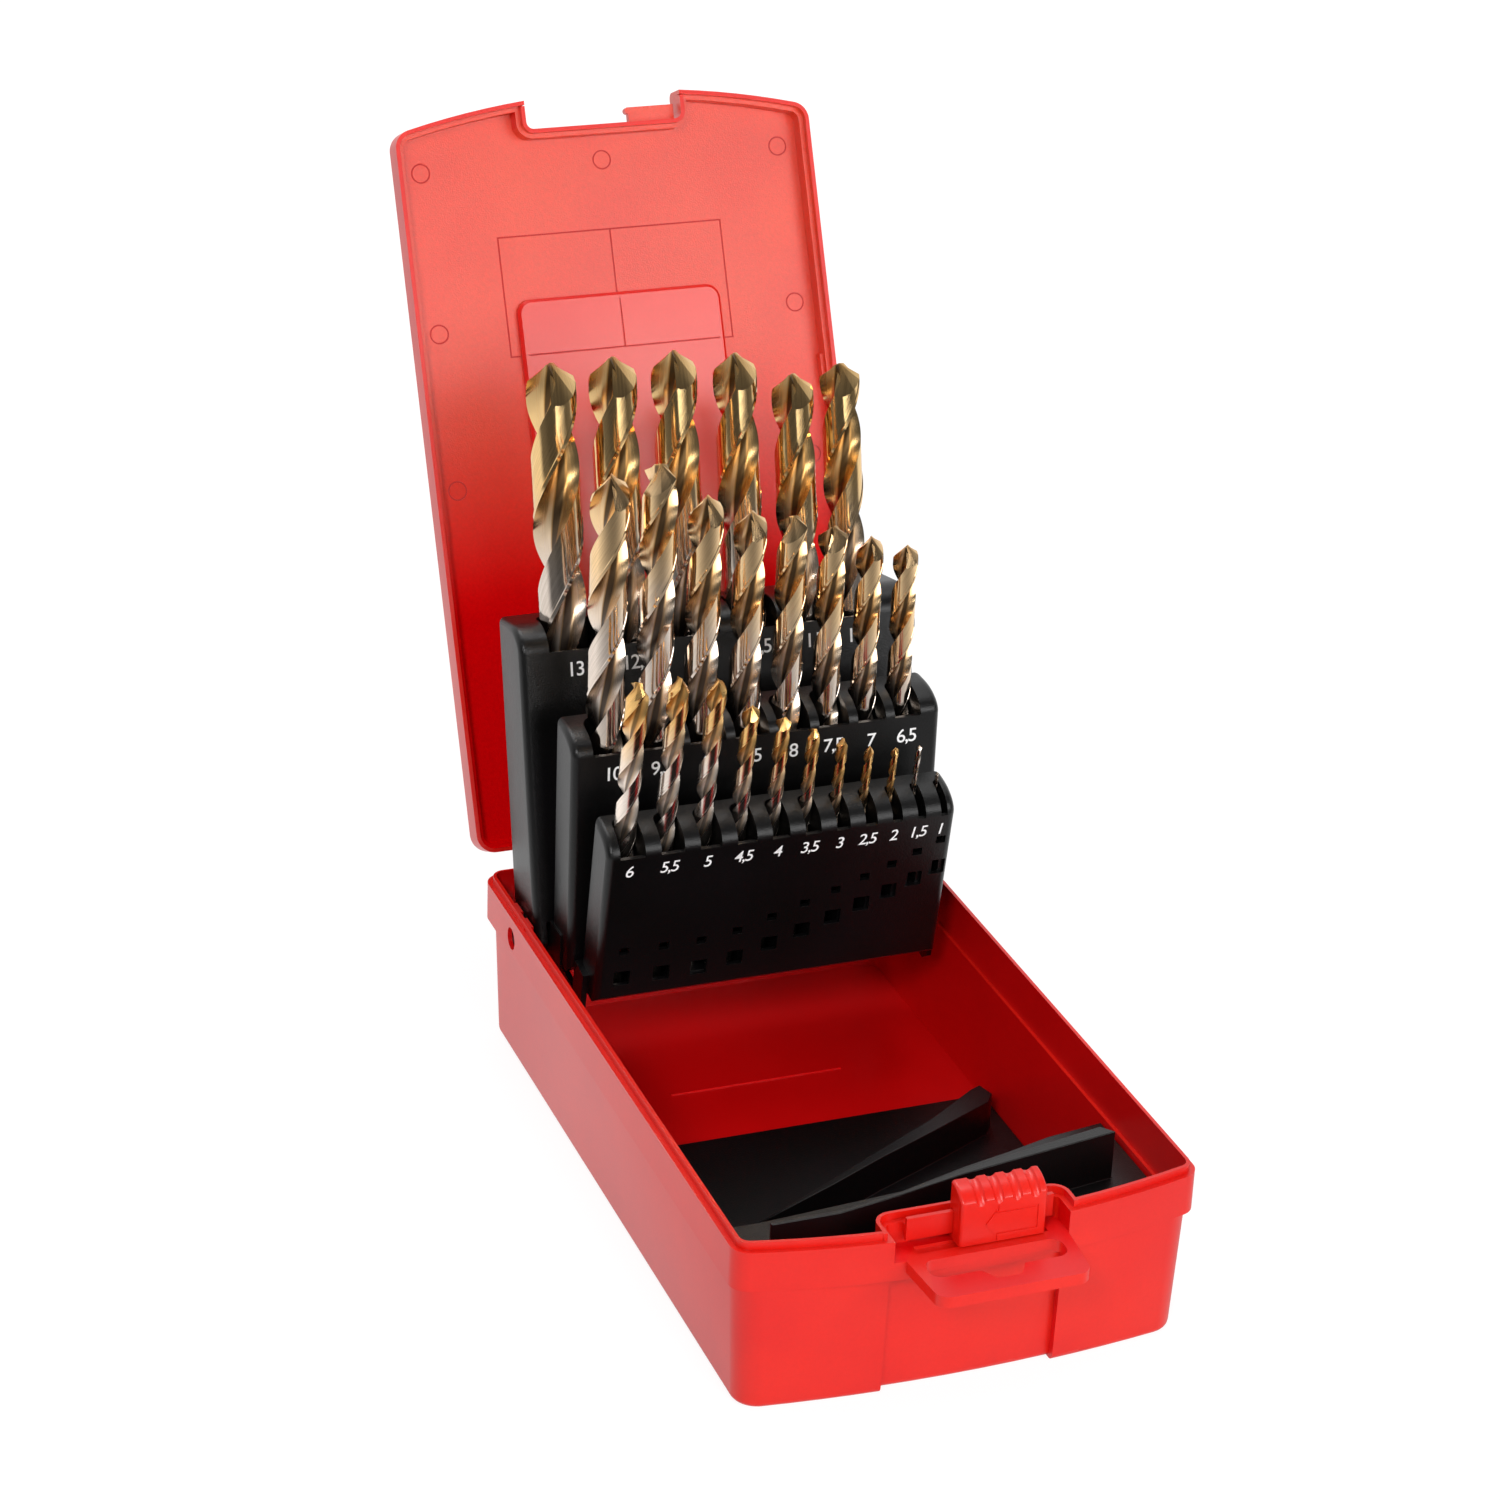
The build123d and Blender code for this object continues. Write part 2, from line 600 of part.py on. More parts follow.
# ---- latch slider ----
groove_head_front = rail_head_back - rail_head_depth - slider_gap
crown_z = slider_top - slider_crown_radius
crown_front_z = crown_z + math.sqrt(slider_crown_radius**2 - slider_depth**2)
slider_face = Plane(origin=(slider_left, slider_front, slider_bottom), x_dir=(1, 0, 0), z_dir=(0, -1, 0))
with BuildPart() as latch_slider:
    # the top is a crown about a line along the back face
    with BuildSketch(side_plane(Plane.XY, slider_left)):
        with BuildLine():
            Polyline(
                (slider_back, slider_top),
                (slider_back, slider_bottom),
                (slider_front, slider_bottom),
                (slider_front, crown_front_z),
            )
            RadiusArc((slider_front, crown_front_z), (slider_back, slider_top), slider_crown_radius)
        make_face()
    extrude(amount=slider_right - slider_left)
    rounded = latch_slider.edges().filter_by(lambda edge: edge.center().Y < slider_back - slider_depth / 4)
    fillet(rounded.filter_by(lambda edge: edge.center().Z > slider_bottom + slider_gap), slider_edge_radius)
    # T-shaped groove for the rail
    with BuildSketch(side_plane(Plane.XY, slider_left)):
        with Locations((rail_head_back + slider_gap, rail_bottom - slider_gap)):
            Rectangle(
                rail_head_back + slider_gap - groove_head_front,
                rail_top - rail_bottom + 2 * slider_gap,
                align=(Align.MAX, Align.MIN),
            )
        with Locations((slider_back, rail_bottom + rail_neck_margin - slider_gap)):
            Rectangle(
                slider_back - groove_head_front,
                tray_height - rail_bottom - rail_neck_margin + 2 * slider_gap,
                align=(Align.MAX, Align.MIN),
            )
    extrude(amount=slider_right - slider_left, mode=Mode.SUBTRACT)
    # slot for the lid's lug, open at the right
    slot_left = lug_left - lug_nib_radius - slider_gap
    with BuildSketch(side_plane(Plane.XY, slot_left)):
        with Locations((slider_back, lug_z - slider_gap)):
            Rectangle(
                slider_back - notch_wall_y + lug_reach + slider_gap,
                lug_thickness + 2 * slider_gap,
                align=(Align.MAX, Align.MIN),
            )
    extrude(amount=slider_right - slot_left, mode=Mode.SUBTRACT)
    # finger grooves over the crown
    groove_up = crown_z + slider_crown_radius - grip_groove_depth + grip_groove_radius
    with BuildSketch(Plane.XZ.offset(-slider_back)):
        for number in range(grip_grooves):
            with Locations((slider_left + grip_groove_first + number * grip_groove_pitch, groove_up)):
                Circle(grip_groove_radius)
    revolve(axis=Axis((0, slider_back, crown_z), (1, 0, 0)), revolution_arc=grip_groove_arc, mode=Mode.SUBTRACT)
    # outline of an arrow on the front
    tip_x, tip_z = arrow_tip
    head_x, tail_x = tip_x + arrow_head[0], tip_x + arrow_length
    with BuildSketch(slider_face):
        with BuildLine():
            Polyline(
                (tip_x, tip_z),
                (head_x, tip_z + arrow_head[1]),
                (head_x, tip_z + arrow_shaft_half_height),
                (tail_x, tip_z + arrow_shaft_half_height),
                (tail_x, tip_z - arrow_shaft_half_height),
                (head_x, tip_z - arrow_shaft_half_height),
                (head_x, tip_z - arrow_head[1]),
                close=True,
            )
        arrow = make_face()
        offset(arrow, amount=-arrow_line, kind=Kind.INTERSECTION, mode=Mode.SUBTRACT)
    extrude(amount=-arrow_depth, mode=Mode.SUBTRACT)


# ---- holders ----
holder_frames = {}
for size, holder in holders.items():
    frame = turned_frame(holder["tilt"], axis_y, axis_z)
    # the holder's own frame has its origin on the common axis
    holder_frames[size] = Plane(
        origin=(0, axis_y, axis_z), x_dir=(1, 0, 0), z_dir=frame.z_dir)


def profile_plane(frame, x):
    # Local axes are "forward" and "up" of a holder, looking along -X
    return Plane(origin=frame.from_local_coords((x, 0, 0)), x_dir=-frame.y_dir, z_dir=-frame.x_dir)


def pocket_places(size):
    # Middles of a row's pockets, left to right: the bits stand one web apart
    diameters = [bit[0] for bit in bits[size]]
    span = sum(diameters) + sum(webs[size])
    x = holders[size]["row_shift"] - span / 2
    places = []
    for diameter, web in zip(diameters, webs[size] + (0,)):
        places.append(x + diameter / 2)
        x += diameter + web
    return places


def window_levels(count):
    return [window_first_up + window_rise * max(0, i - window_level_count + 1.5) for i in range(count)]


holder_parts = {}
for size, holder in holders.items():
    frame = holder_frames[size]
    half = holder_half_width - holder["side_inset"]
    toe = holder_toe_chamfer
    inner_front = holder["front"] - front_wall
    with BuildPart() as body:
        with BuildSketch(profile_plane(frame, 0)):
            with BuildLine():
                Polyline(
                    (holder["flat_end"], holder["top"]),
                    (holder["back"], holder["top"]),
                    (holder["back"], holder["bottom"]),
                    (holder["front"] - toe, holder["bottom"]),
                    (holder["front"], holder["bottom"] + toe),
                    (holder["front"], holder["shoulder"]),
                )
                EllipticalCenterArc(
                    (holder["flat_end"], holder["shoulder"]),
                    holder["front"] - holder["flat_end"],
                    holder["top"] - holder["shoulder"],
                    start_angle=0,
                    arc_size=90,
                )
            make_face()
        extrude(amount=half, both=True)
        ends = body.faces().filter_by(Axis.X)
        above_toe = holder["bottom"] + toe
        fillet([edge for edge in ends.edges() if frame.to_local_coords(edge.center()).Z > above_toe],
               holder_edge_radius)

        for (diameter, length, tip), x in zip(bits[size], pocket_places(size)):
            floor_up = tip - length - seat_gap
            half_pocket = diameter / 2 + pocket_clearance
            with BuildSketch(frame.offset(floor_up)):
                with Locations((x, -holder["row"])):
                    Circle(half_pocket)
                    Rectangle(2 * half_pocket, inner_front - holder["row"], align=(Align.CENTER, Align.MAX))
            extrude(amount=holder["top"] - floor_up, mode=Mode.SUBTRACT)
            with BuildSketch(frame.offset(holder["shoulder"])):
                with Locations((x, -holder["row"])):
                    Rectangle(2 * half_pocket, holder["front"] - holder["row"], align=(Align.CENTER, Align.MAX))
            extrude(amount=holder["top"] - holder["shoulder"], mode=Mode.SUBTRACT)

        if size == "large":
            # recesses at the lower corners leave a cheek outside each one
            for low, high in mirrored(cheek_recess_inner, cheek_inner):
                with BuildSketch(side_plane(frame, low)):
                    with Locations((0, cheek_recess_top)):
                        Rectangle(4 * half, half, align=(Align.CENTER, Align.MAX))
                extrude(amount=high - low, mode=Mode.SUBTRACT)
            for low, high in mirrored(cheek_inner, half):
                with BuildSketch(side_plane(frame, low)):
                    Circle(boss_radius + cheek_boss_margin)
                extrude(amount=high - low)
        if size == "medium":
            for low, high in mirrored(medium_arm_inner, medium_arm_outer):
                with BuildSketch(profile_plane(frame, high)):
                    Circle(boss_radius)
                    with BuildLine():
                        Polyline(
                            (0, boss_radius),
                            (0, -boss_radius),
                            (holder["back"] + boss_radius, -boss_radius),
                            (holder["back"] + 2 * boss_radius, holder["bottom"] - arm_gap),
                            (holder["back"] + 2 * boss_radius, 2 * boss_radius),
                            (holder["back"], 2 * boss_radius),
                            (holder["back"], boss_radius),
                            close=True,
                        )
                    make_face()
                extrude(amount=high - low)
        if size == "small":
            for low, high in mirrored(small_arm_inner, small_arm_outer):
                foot_front = holder["back"] + foot_depth
                arm_top = holders["medium"]["bottom"] - arm_gap
                with BuildSketch(profile_plane(frame, high)):
                    Circle(boss_radius)
                    with BuildLine():
                        Polyline(
                            (0, arm_top),
                            (0, -boss_radius),
                            (foot_front - boss_radius / 2, -boss_radius),
                            (foot_front, -boss_radius / 2),
                            (foot_front, 2 * boss_radius),
                            (holder["back"] + arm_gap / 2, 2 * boss_radius),
                            (holder["back"] + arm_gap / 2, arm_top),
                            close=True,
                        )
                    make_face()
                extrude(amount=high - low)
            # the feet grow out of the holder's sides
            for low, high in mirrored(half - holder_edge_radius, small_arm_outer):
                with BuildSketch(profile_plane(frame, high)):
                    with Locations((holder["back"] + arm_gap / 2, holder["bottom"])):
                        Rectangle(foot_front - holder["back"] - arm_gap / 2,
                                  2 * boss_radius - holder["bottom"], align=(Align.MIN, Align.MIN))
                extrude(amount=high - low)
            front_plane = Plane(
                origin=frame.from_local_coords((0, -holder["front"], 0)), x_dir=(1, 0, 0), z_dir=-frame.y_dir)
            with BuildSketch(front_plane):
                for x, up in zip(pocket_places(size), window_levels(len(bits[size]))):
                    with Locations((x, up)):
                        Rectangle(window_size, window_size)
                    with Locations((x, up + window_pitch_up)):
                        Rectangle(*upper_window)
            extrude(amount=-front_wall, mode=Mode.SUBTRACT)

        # bore for the pivot pins
        for low, high in mirrored(cheek_recess_inner, case_half_width):
            with BuildSketch(side_plane(frame, low)):
                Circle(pivot_radius + pin_fit)
            extrude(amount=high - low, mode=Mode.SUBTRACT)
    holder_parts[size] = body.part


# ---- pivot pins ----
pivot_pins = {}
pin_ends = mirrored(small_arm_inner, case_half_width - rim_thickness / 2)
for side, (low, high) in zip(("right", "left"), pin_ends):
    with BuildPart() as pivot_pin:
        with BuildSketch(side_plane(Plane.XY, low)):
            with Locations((axis_y, axis_z)):
                Circle(pivot_radius)
        extrude(amount=high - low)
    pivot_pins[side] = pivot_pin.part


# ---- tip rest ----
def from_front(points):
    return [(x, y - case_half_depth) for x, y in points]


with BuildPart() as tip_rest:
    add(drafted_block(rest_bottom, shelf_top, wall + rest_gap))
    add(panel_space(rest_bottom, shelf_top, wall + rest_gap), mode=Mode.SUBTRACT)
    # hollow under the shelf
    hollow_bottom, hollow_top = rest_bottom + rest_plate, shelf_top - shelf_thickness
    hollow = drafted_block(hollow_bottom, hollow_top, wall + rest_gap + rest_skirt)
    hollow -= panel_space(hollow_bottom, hollow_top, wall + rest_gap + rest_skirt)
    add(hollow, mode=Mode.SUBTRACT)
    # nothing stands behind the shelf's back edge
    with BuildSketch(Plane.XY.offset(hollow_bottom)):
        with BuildLine():
            Polyline(
                *from_front([(-case_half_width, shelf_edge_left), *shelf_edge, (case_half_width, shelf_edge_right)]),
                (case_half_width, case_half_depth),
                (-case_half_width, case_half_depth),
                close=True,
            )
        make_face()
    extrude(amount=shelf_top, mode=Mode.SUBTRACT)
    with BuildSketch(Plane.XY.offset(rest_bottom)):
        with Locations((0, rest_plate_back - case_half_depth)):
            Rectangle(2 * case_half_width, 2 * case_half_depth, align=(Align.CENTER, Align.MIN))
    extrude(amount=rest_plate, mode=Mode.SUBTRACT)

    # low fin before the tips of the small bits
    with BuildSketch(Plane.XY.offset(rest_bottom)):
        with BuildLine():
            Polyline(*from_front(fin_front + fin_back), close=True)
        make_face()
    extrude(amount=fin_top - rest_bottom)

    # wall on the shelf before the tips of the large bits, thicker to the right
    with BuildSketch(Plane.XY.offset(shelf_top - shelf_thickness / 2)):
        with BuildLine():
            Polyline(*from_front(rest_wall_front + rest_wall_back), close=True)
        make_face()
    extrude(amount=rest_wall_top - shelf_top + shelf_thickness / 2)


# ---- drill bits ----
bit_parts = {}
for size, row in bits.items():
    frame = holder_frames[size]
    for (diameter, length, tip), x in zip(row, pocket_places(size)):
        radius = diameter / 2
        point = radius / math.tan(math.radians(point_angle / 2))
        heel = frame.from_local_coords((x, -holders[size]["row"], tip - length))
        with BuildPart() as drill:
            with BuildSketch(Plane(origin=heel, x_dir=(1, 0, 0), z_dir=-frame.y_dir)):
                with BuildLine():
                    Polyline(
                        (0, 0),
                        (radius * 0.9, 0),
                        (radius, radius * 0.1),
                        (radius, length - point),
                        (0, length),
                        close=True,
                    )
                make_face()
            revolve(axis=Axis(heel, frame.z_dir))
        bit_parts["drill_" + str(diameter).replace(".", "_")] = drill.part


# ---- export ----
pieces = {"base_tray": base_tray.part, "lid": lid.part, "latch_slider": latch_slider.part,
          "tip_rest": tip_rest.part}
for side in ("left", "right"):
    pieces["hinge_pin_" + side] = hinge_pins[side]
    pieces["pivot_pin_" + side] = pivot_pins[side]
for size, part in holder_parts.items():
    pieces["holder_" + size] = part
pieces.update(bit_parts)

os.makedirs("parts", exist_ok=True)
for name, part in pieces.items():
    part.label = name
    export_step(part, "parts/" + name + ".step")
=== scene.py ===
import json
import math
import bmesh
import bpy
from mathutils import Matrix, Vector


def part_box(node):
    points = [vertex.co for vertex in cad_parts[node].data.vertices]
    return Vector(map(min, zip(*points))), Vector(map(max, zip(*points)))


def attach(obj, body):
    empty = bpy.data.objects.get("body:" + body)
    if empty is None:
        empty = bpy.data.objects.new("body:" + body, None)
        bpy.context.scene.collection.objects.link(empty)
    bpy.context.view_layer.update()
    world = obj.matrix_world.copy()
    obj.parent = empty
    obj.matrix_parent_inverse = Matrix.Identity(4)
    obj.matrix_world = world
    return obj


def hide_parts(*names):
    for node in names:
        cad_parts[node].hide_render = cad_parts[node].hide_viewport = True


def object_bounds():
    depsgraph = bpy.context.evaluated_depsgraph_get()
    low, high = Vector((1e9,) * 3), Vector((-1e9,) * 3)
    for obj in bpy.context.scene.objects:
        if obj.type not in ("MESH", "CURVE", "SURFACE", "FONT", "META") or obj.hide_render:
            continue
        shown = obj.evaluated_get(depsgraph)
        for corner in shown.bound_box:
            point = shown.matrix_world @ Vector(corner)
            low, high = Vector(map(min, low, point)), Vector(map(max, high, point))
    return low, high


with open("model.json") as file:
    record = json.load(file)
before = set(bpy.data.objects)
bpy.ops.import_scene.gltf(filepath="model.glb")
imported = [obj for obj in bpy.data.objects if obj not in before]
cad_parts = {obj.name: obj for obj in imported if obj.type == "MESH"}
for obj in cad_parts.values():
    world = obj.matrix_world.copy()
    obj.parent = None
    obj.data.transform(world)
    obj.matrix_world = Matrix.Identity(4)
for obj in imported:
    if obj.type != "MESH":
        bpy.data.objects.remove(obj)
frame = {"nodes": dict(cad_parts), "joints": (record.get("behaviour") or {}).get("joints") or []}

cadLow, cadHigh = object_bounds()
mm = 0.001
joints = {joint["name"]: joint for joint in frame["joints"]}
print("frame loaded:", len(frame["nodes"]), "nodes")


def addObject(name, data):
    thing = bpy.data.objects.new(name, data)
    bpy.context.scene.collection.objects.link(thing)
    return thing


def meshFrom(shape, name, *materials):
    mesh = bpy.data.meshes.new(name)
    shape.to_mesh(mesh)
    shape.free()
    mesh.materials.clear()
    for material in materials:
        mesh.materials.append(material)
    return mesh


def easedShare(value):
    # 0 to 1, with a soft start and end
    value = min(max(value, 0), 1)
    return value * value * (3 - 2 * value)


def newMaterial(name):
    material = bpy.data.materials.new(name)
    material.use_nodes = True
    tree = material.node_tree
    return material, tree, tree.nodes["Principled BSDF"]


def addNode(tree, kind, **values):
    # a value named as a socket is set there, and any other on the node itself
    node = tree.nodes.new(kind)
    for key, value in values.items():
        if key in node.inputs.keys():
            node.inputs[key].default_value = value
        else:
            setattr(node, key, value)
    return node


def feed(tree, socket, value):
    # a value is another node's output, or a plain number or colour
    if isinstance(value, bpy.types.NodeSocket):
        tree.links.new(value, socket)
    else:
        socket.default_value = value


def objectNoise(tree, scale, detail=3.0, roughness=0.5, stretch=(1, 1, 1)):
    # noise in the piece's own millimetres: scale is features per millimetre
    place = addNode(tree, "ShaderNodeTexCoord")
    mapping = addNode(tree, "ShaderNodeMapping")
    mapping.inputs["Scale"].default_value = [scale / mm * part for part in stretch]
    noise = addNode(tree, "ShaderNodeTexNoise", Scale=1.0, Detail=detail, Roughness=roughness)
    tree.links.new(place.outputs["Object"], mapping.inputs["Vector"])
    tree.links.new(mapping.outputs["Vector"], noise.inputs["Vector"])
    return noise


def colourRamp(tree, source, stops):
    # stops: (position, colour), from the first to the last
    node = addNode(tree, "ShaderNodeValToRGB")
    elements = node.color_ramp.elements
    first, *between, last = stops
    for index, (position, colour) in enumerate((first, last)):
        elements[index].position = position
        elements[index].color = (*colour, 1)
    for position, colour in between:
        elements.new(position).color = (*colour, 1)
    tree.links.new(source, node.inputs["Fac"])
    return node.outputs["Color"]


def mapRange(tree, source, values, smooth=False):
    # values: lowest and highest of the source, then what they become
    node = addNode(tree, "ShaderNodeMapRange")
    if smooth:
        node.interpolation_type = "SMOOTHSTEP"
    for socket, value in zip(("From Min", "From Max", "To Min", "To Max"), values):
        node.inputs[socket].default_value = value
    tree.links.new(source, node.inputs["Value"])
    return node.outputs["Result"]


def mix(tree, kind, factor, first, second, blend="MIX"):
    node = addNode(tree, "ShaderNodeMix", data_type=kind, blend_type=blend)
    for socket, value in zip(("Factor", "A", "B"), (factor, first, second)):
        feed(tree, node.inputs[socket], value)
    return node.outputs["Result"]


def calculate(tree, operation, *values):
    node = addNode(tree, "ShaderNodeMath", operation=operation)
    for socket, value in zip(node.inputs, values):
        feed(tree, socket, value)
    return node.outputs["Value"]


def addBump(tree, shader, layers):
    # layers: (height socket, strength, distance in millimetres), stacked one on the other
    last = None
    for height, strength, distance in layers:
        bump = addNode(tree, "ShaderNodeBump", Strength=strength, Distance=distance * mm)
        tree.links.new(height, bump.inputs["Height"])
        if last:
            tree.links.new(last.outputs["Normal"], bump.inputs["Normal"])
        last = bump
    tree.links.new(last.outputs["Normal"], shader.inputs["Normal"])


noiseSpan = (0.3, 0.7)    # nearly all of a noise's values lie between these

# what all the moulded plastics share; scale is features per millimetre
plasticSurface = {
    "cloud": {"scale": 0.03, "detail": 4.0},
    "cloudSpan": (0.35, 0.65),
    "cloudBump": (0.15, 0.1),    # strength, and height in millimetres
    "speck": {"scale": 1.1, "roughness": 0.7},
    "grain": {"roughness": 0.6},
    "swirl": {"scale": 0.012, "detail": 2.0, "stretch": (1, 0.4, 1)},
}
# gloss is the roughness from and to, level how strongly it mirrors, fleck how strong its specks are,
# grain its features per millimetre, and grainBump their strength, and height in millimetres
plasticLooks = {
    "case": {
        "name": "red moulded plastic",
        "colour": (0.80, 0.013, 0.004), "shade": (0.73, 0.007, 0.003),
        "gloss": (0.28, 0.38), "level": 0.5, "fleck": 0.12,
        "grain": 1.6, "grainBump": (0.22, 0.03),
    },
    # painted shade: the tray's inside is a shaded copy of the case's red
    "trayInsideShade": {
        "name": "red moulded plastic, inside",
        "colour": (0.78, 0.002, 0.003), "shade": (0.72, 0.001, 0.002),
        "gloss": (0.30, 0.40), "level": 0.5, "fleck": 0.12,
        "grain": 1.6, "grainBump": (0.22, 0.03),
    },
    # painted light: the lid's upper red, more orange than the case's, stands for the light falling on it
    "lidInside": {
        "name": "red grained plastic",
        "colour": (0.93, 0.058, 0.013), "shade": (0.87, 0.042, 0.010),
        "gloss": (0.32, 0.40), "level": 0.85, "fleck": 0.30,
        "grain": 2.6, "grainBump": (0.8, 0.09),
        # between these heights in millimetres it fades to what is below them: a deeper red, which is
        # painted shade, and less haze
        "fadeHeights": (100, 170), "levelBelow": 0.0, "shadedColourBelow": (0.85, 0.001, 0.003),
    },
    # painted shade: the mould lines' grooves are a darker red for the shade in them
    "lidLineShade": {
        "name": "red plastic, mould line",
        "colour": (0.62, 0.010, 0.006), "shade": (0.55, 0.006, 0.004),
        "gloss": (0.45, 0.55), "level": 0.5, "fleck": 0.12,
        "grain": 2.6, "grainBump": (0.2, 0.02),
    },
    # painted light: the field's red, more orange than the case's, stands for the light falling on it
    "lidField": {
        "name": "red plastic, smooth field",
        "colour": (0.82, 0.030, 0.012), "shade": (0.78, 0.022, 0.009),
        "gloss": (0.20, 0.26), "level": 0.75, "fleck": 0.12,
        "grain": 2.6, "grainBump": (0.2, 0.02),
    },
    "black": {
        "name": "black textured plastic",
        "colour": (0.0035, 0.003, 0.0035), "shade": (0.002, 0.002, 0.002),
        "gloss": (0.28, 0.38), "level": 0.4, "fleck": 0.12,
        "grain": 2.2, "grainBump": (0.8, 0.09),
    },
}


def shadeFadeDown(tree, shader, look, colour):
    # painted shade: the lower part is deeper in colour and throws back less haze
    place = addNode(tree, "ShaderNodeTexCoord")
    height = addNode(tree, "ShaderNodeSeparateXYZ")
    tree.links.new(place.outputs["Object"], height.inputs["Vector"])
    low, high = look["fadeHeights"]
    fade = mapRange(tree, height.outputs["Z"], (low * mm, high * mm, 0, 1), smooth=True)
    haze = mapRange(tree, fade, (0, 1, look["levelBelow"], look["level"]))
    tree.links.new(haze, shader.inputs["Specular IOR Level"])
    return mix(tree, "RGBA", fade, (*look["shadedColourBelow"], 1), colour)


def mouldedPlastic(look):
    surface = plasticSurface
    material, tree, shader = newMaterial(look["name"])
    cloud = objectNoise(tree, **surface["cloud"]).outputs["Fac"]
    speck = objectNoise(tree, **surface["speck"]).outputs["Color"]
    grain = objectNoise(tree, look["grain"], **surface["grain"]).outputs["Fac"]
    swirl = objectNoise(tree, **surface["swirl"]).outputs["Fac"]
    low, high = surface["cloudSpan"]
    colour = colourRamp(tree, cloud, ((low, look["shade"]), (high, look["colour"])))
    shader.inputs["Specular IOR Level"].default_value = look["level"]
    # the lid's painted shade, low down
    if "fadeHeights" in look:
        colour = shadeFadeDown(tree, shader, look, colour)
    flecked = mix(tree, "RGBA", look["fleck"], colour, speck, blend="MULTIPLY")
    tree.links.new(flecked, shader.inputs["Base Color"])
    polish = mapRange(tree, swirl, (*noiseSpan, *look["gloss"]))
    tree.links.new(polish, shader.inputs["Roughness"])
    addBump(tree, shader, ((cloud, *surface["cloudBump"]), (grain, *look["grainBump"])))
    return material


plastic = {use: mouldedPlastic(look) for use, look in plasticLooks.items()}
print("plastics made")


trayFaces = {
    "floorUp": 0.9,          # a floor face looks up at least this squarely
    "floorBelow": 20,        # and lies below this height, in millimetres
}
lidFaces = {
    "panelFront": 0.9,       # a face of the inner panel looks forward at least this squarely
    "panelSide": 0.01,       # and sideways no more than this
    "field": 2.0,            # millimetres that the smooth field stands proud of the panel
    "fieldWithin": 0.1,
    "lines": (-0.2, 1.8),    # bottoms of the mould lines, in the panel and in the field, which get painted shade
    "linesWithin": 0.05,
    "middle": 5,             # a point this far before the panel is inside the lid
}


def paintTray(mesh):
    # painted shade: the inner sides of the walls and the floor get a deeper red, for the shade that
    # falls inside the tray
    mesh.materials.append(plastic["trayInsideShade"])
    for face in mesh.polygons:
        facesIn = face.center.x * face.normal.x + face.center.y * face.normal.y < 0
        facesUp = face.normal.z > trayFaces["floorUp"]
        if facesIn or (facesUp and face.center.z < trayFaces["floorBelow"] * mm):
            face.material_index = 1


def paintLid(mesh):
    # the panel is grained, its raised field smooth, its mould lines painted dark for the shade in their
    # grooves, the outside as the case
    for use in ("lidField", "lidLineShade", "case"):
        mesh.materials.append(plastic[use])
    grained, smooth, line, outside = range(4)
    inward = [face for face in mesh.polygons
              if face.normal.y < -lidFaces["panelFront"] and abs(face.normal.x) < lidFaces["panelSide"]]
    panel = max(inward, key=lambda face: face.area)
    for face in inward:
        proud = (face.center - panel.center).dot(panel.normal)
        if abs(proud - lidFaces["field"] * mm) < lidFaces["fieldWithin"] * mm:
            face.material_index = smooth
        elif any(abs(proud - depth * mm) < lidFaces["linesWithin"] * mm for depth in lidFaces["lines"]):
            face.material_index = line
    within = panel.center + panel.normal * lidFaces["middle"] * mm
    for face in mesh.polygons:
        if face.material_index == grained and face.normal.dot(face.center - within) > 0:
            face.material_index = outside


mouldings = {
    "tray": {"node": "base_tray", "body": "tray", "plastic": "case", "slot": "red_plastic",
             "edgeRadius": 0.4, "paint": paintTray},
    "lidShell": {"node": "lid", "body": "lid", "plastic": "lidInside", "slot": "red_plastic",
                 "edgeRadius": 0.4, "paint": paintLid},
    "latchSlider": {"node": "latch_slider", "body": "latch", "plastic": "case", "slot": "red_plastic",
                    "edgeRadius": 0.3},
    "holderLarge": {"node": "holder_large", "body": "large_holder", "plastic": "black",
                    "slot": "black_plastic", "edgeRadius": 0.4},
    "holderMedium": {"node": "holder_medium", "body": "medium_holder", "plastic": "black",
                     "slot": "black_plastic", "edgeRadius": 0.4},
    "holderSmall": {"node": "holder_small", "body": "small_holder", "plastic": "black",
                    "slot": "black_plastic", "edgeRadius": 0.4},
    "tipRest": {"node": "tip_rest", "body": "tray", "plastic": "black", "slot": "black_plastic",
                "edgeRadius": 0.35},
}
# how a CAD moulding becomes a softened one: millimetres and degrees
softening = {
    "mergeWithin": 0.002,
    "flatWithin": 0.6,
    "sharpFrom": 28,
    "roundFrom": 40,
    "roundSegments": 3,
}


def mouldedCopy(name, look):
    node, body = look["node"], look["body"]
    shape = bmesh.new()
    shape.from_mesh(frame["nodes"][node].data)
    bmesh.ops.remove_doubles(shape, verts=shape.verts, dist=softening["mergeWithin"] * mm)
    bmesh.ops.dissolve_limit(shape, angle_limit=math.radians(softening["flatWithin"]),
                             verts=shape.verts, edges=shape.edges)
    for face in shape.faces:
        face.smooth = True
    sharpFrom = math.radians(softening["sharpFrom"])
    for edge in shape.edges:
        edge.smooth = not (len(edge.link_faces) == 2 and edge.calc_face_angle(0) > sharpFrom)
    mesh = meshFrom(shape, name, plastic[look["plastic"]])
    if "paint" in look:
        look["paint"](mesh)
    piece = addObject(name, mesh)
    soften = piece.modifiers.new("edges", "BEVEL")
    soften.width = look["edgeRadius"] * mm
    soften.segments = softening["roundSegments"]
    soften.limit_method = "ANGLE"
    soften.angle_limit = math.radians(softening["roundFrom"])
    soften.use_clamp_overlap = True
    soften.harden_normals = True
    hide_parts(node)
    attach(piece, body)


for name, look in mouldings.items():
    mouldedCopy(name, look)
print("moulded pieces made")


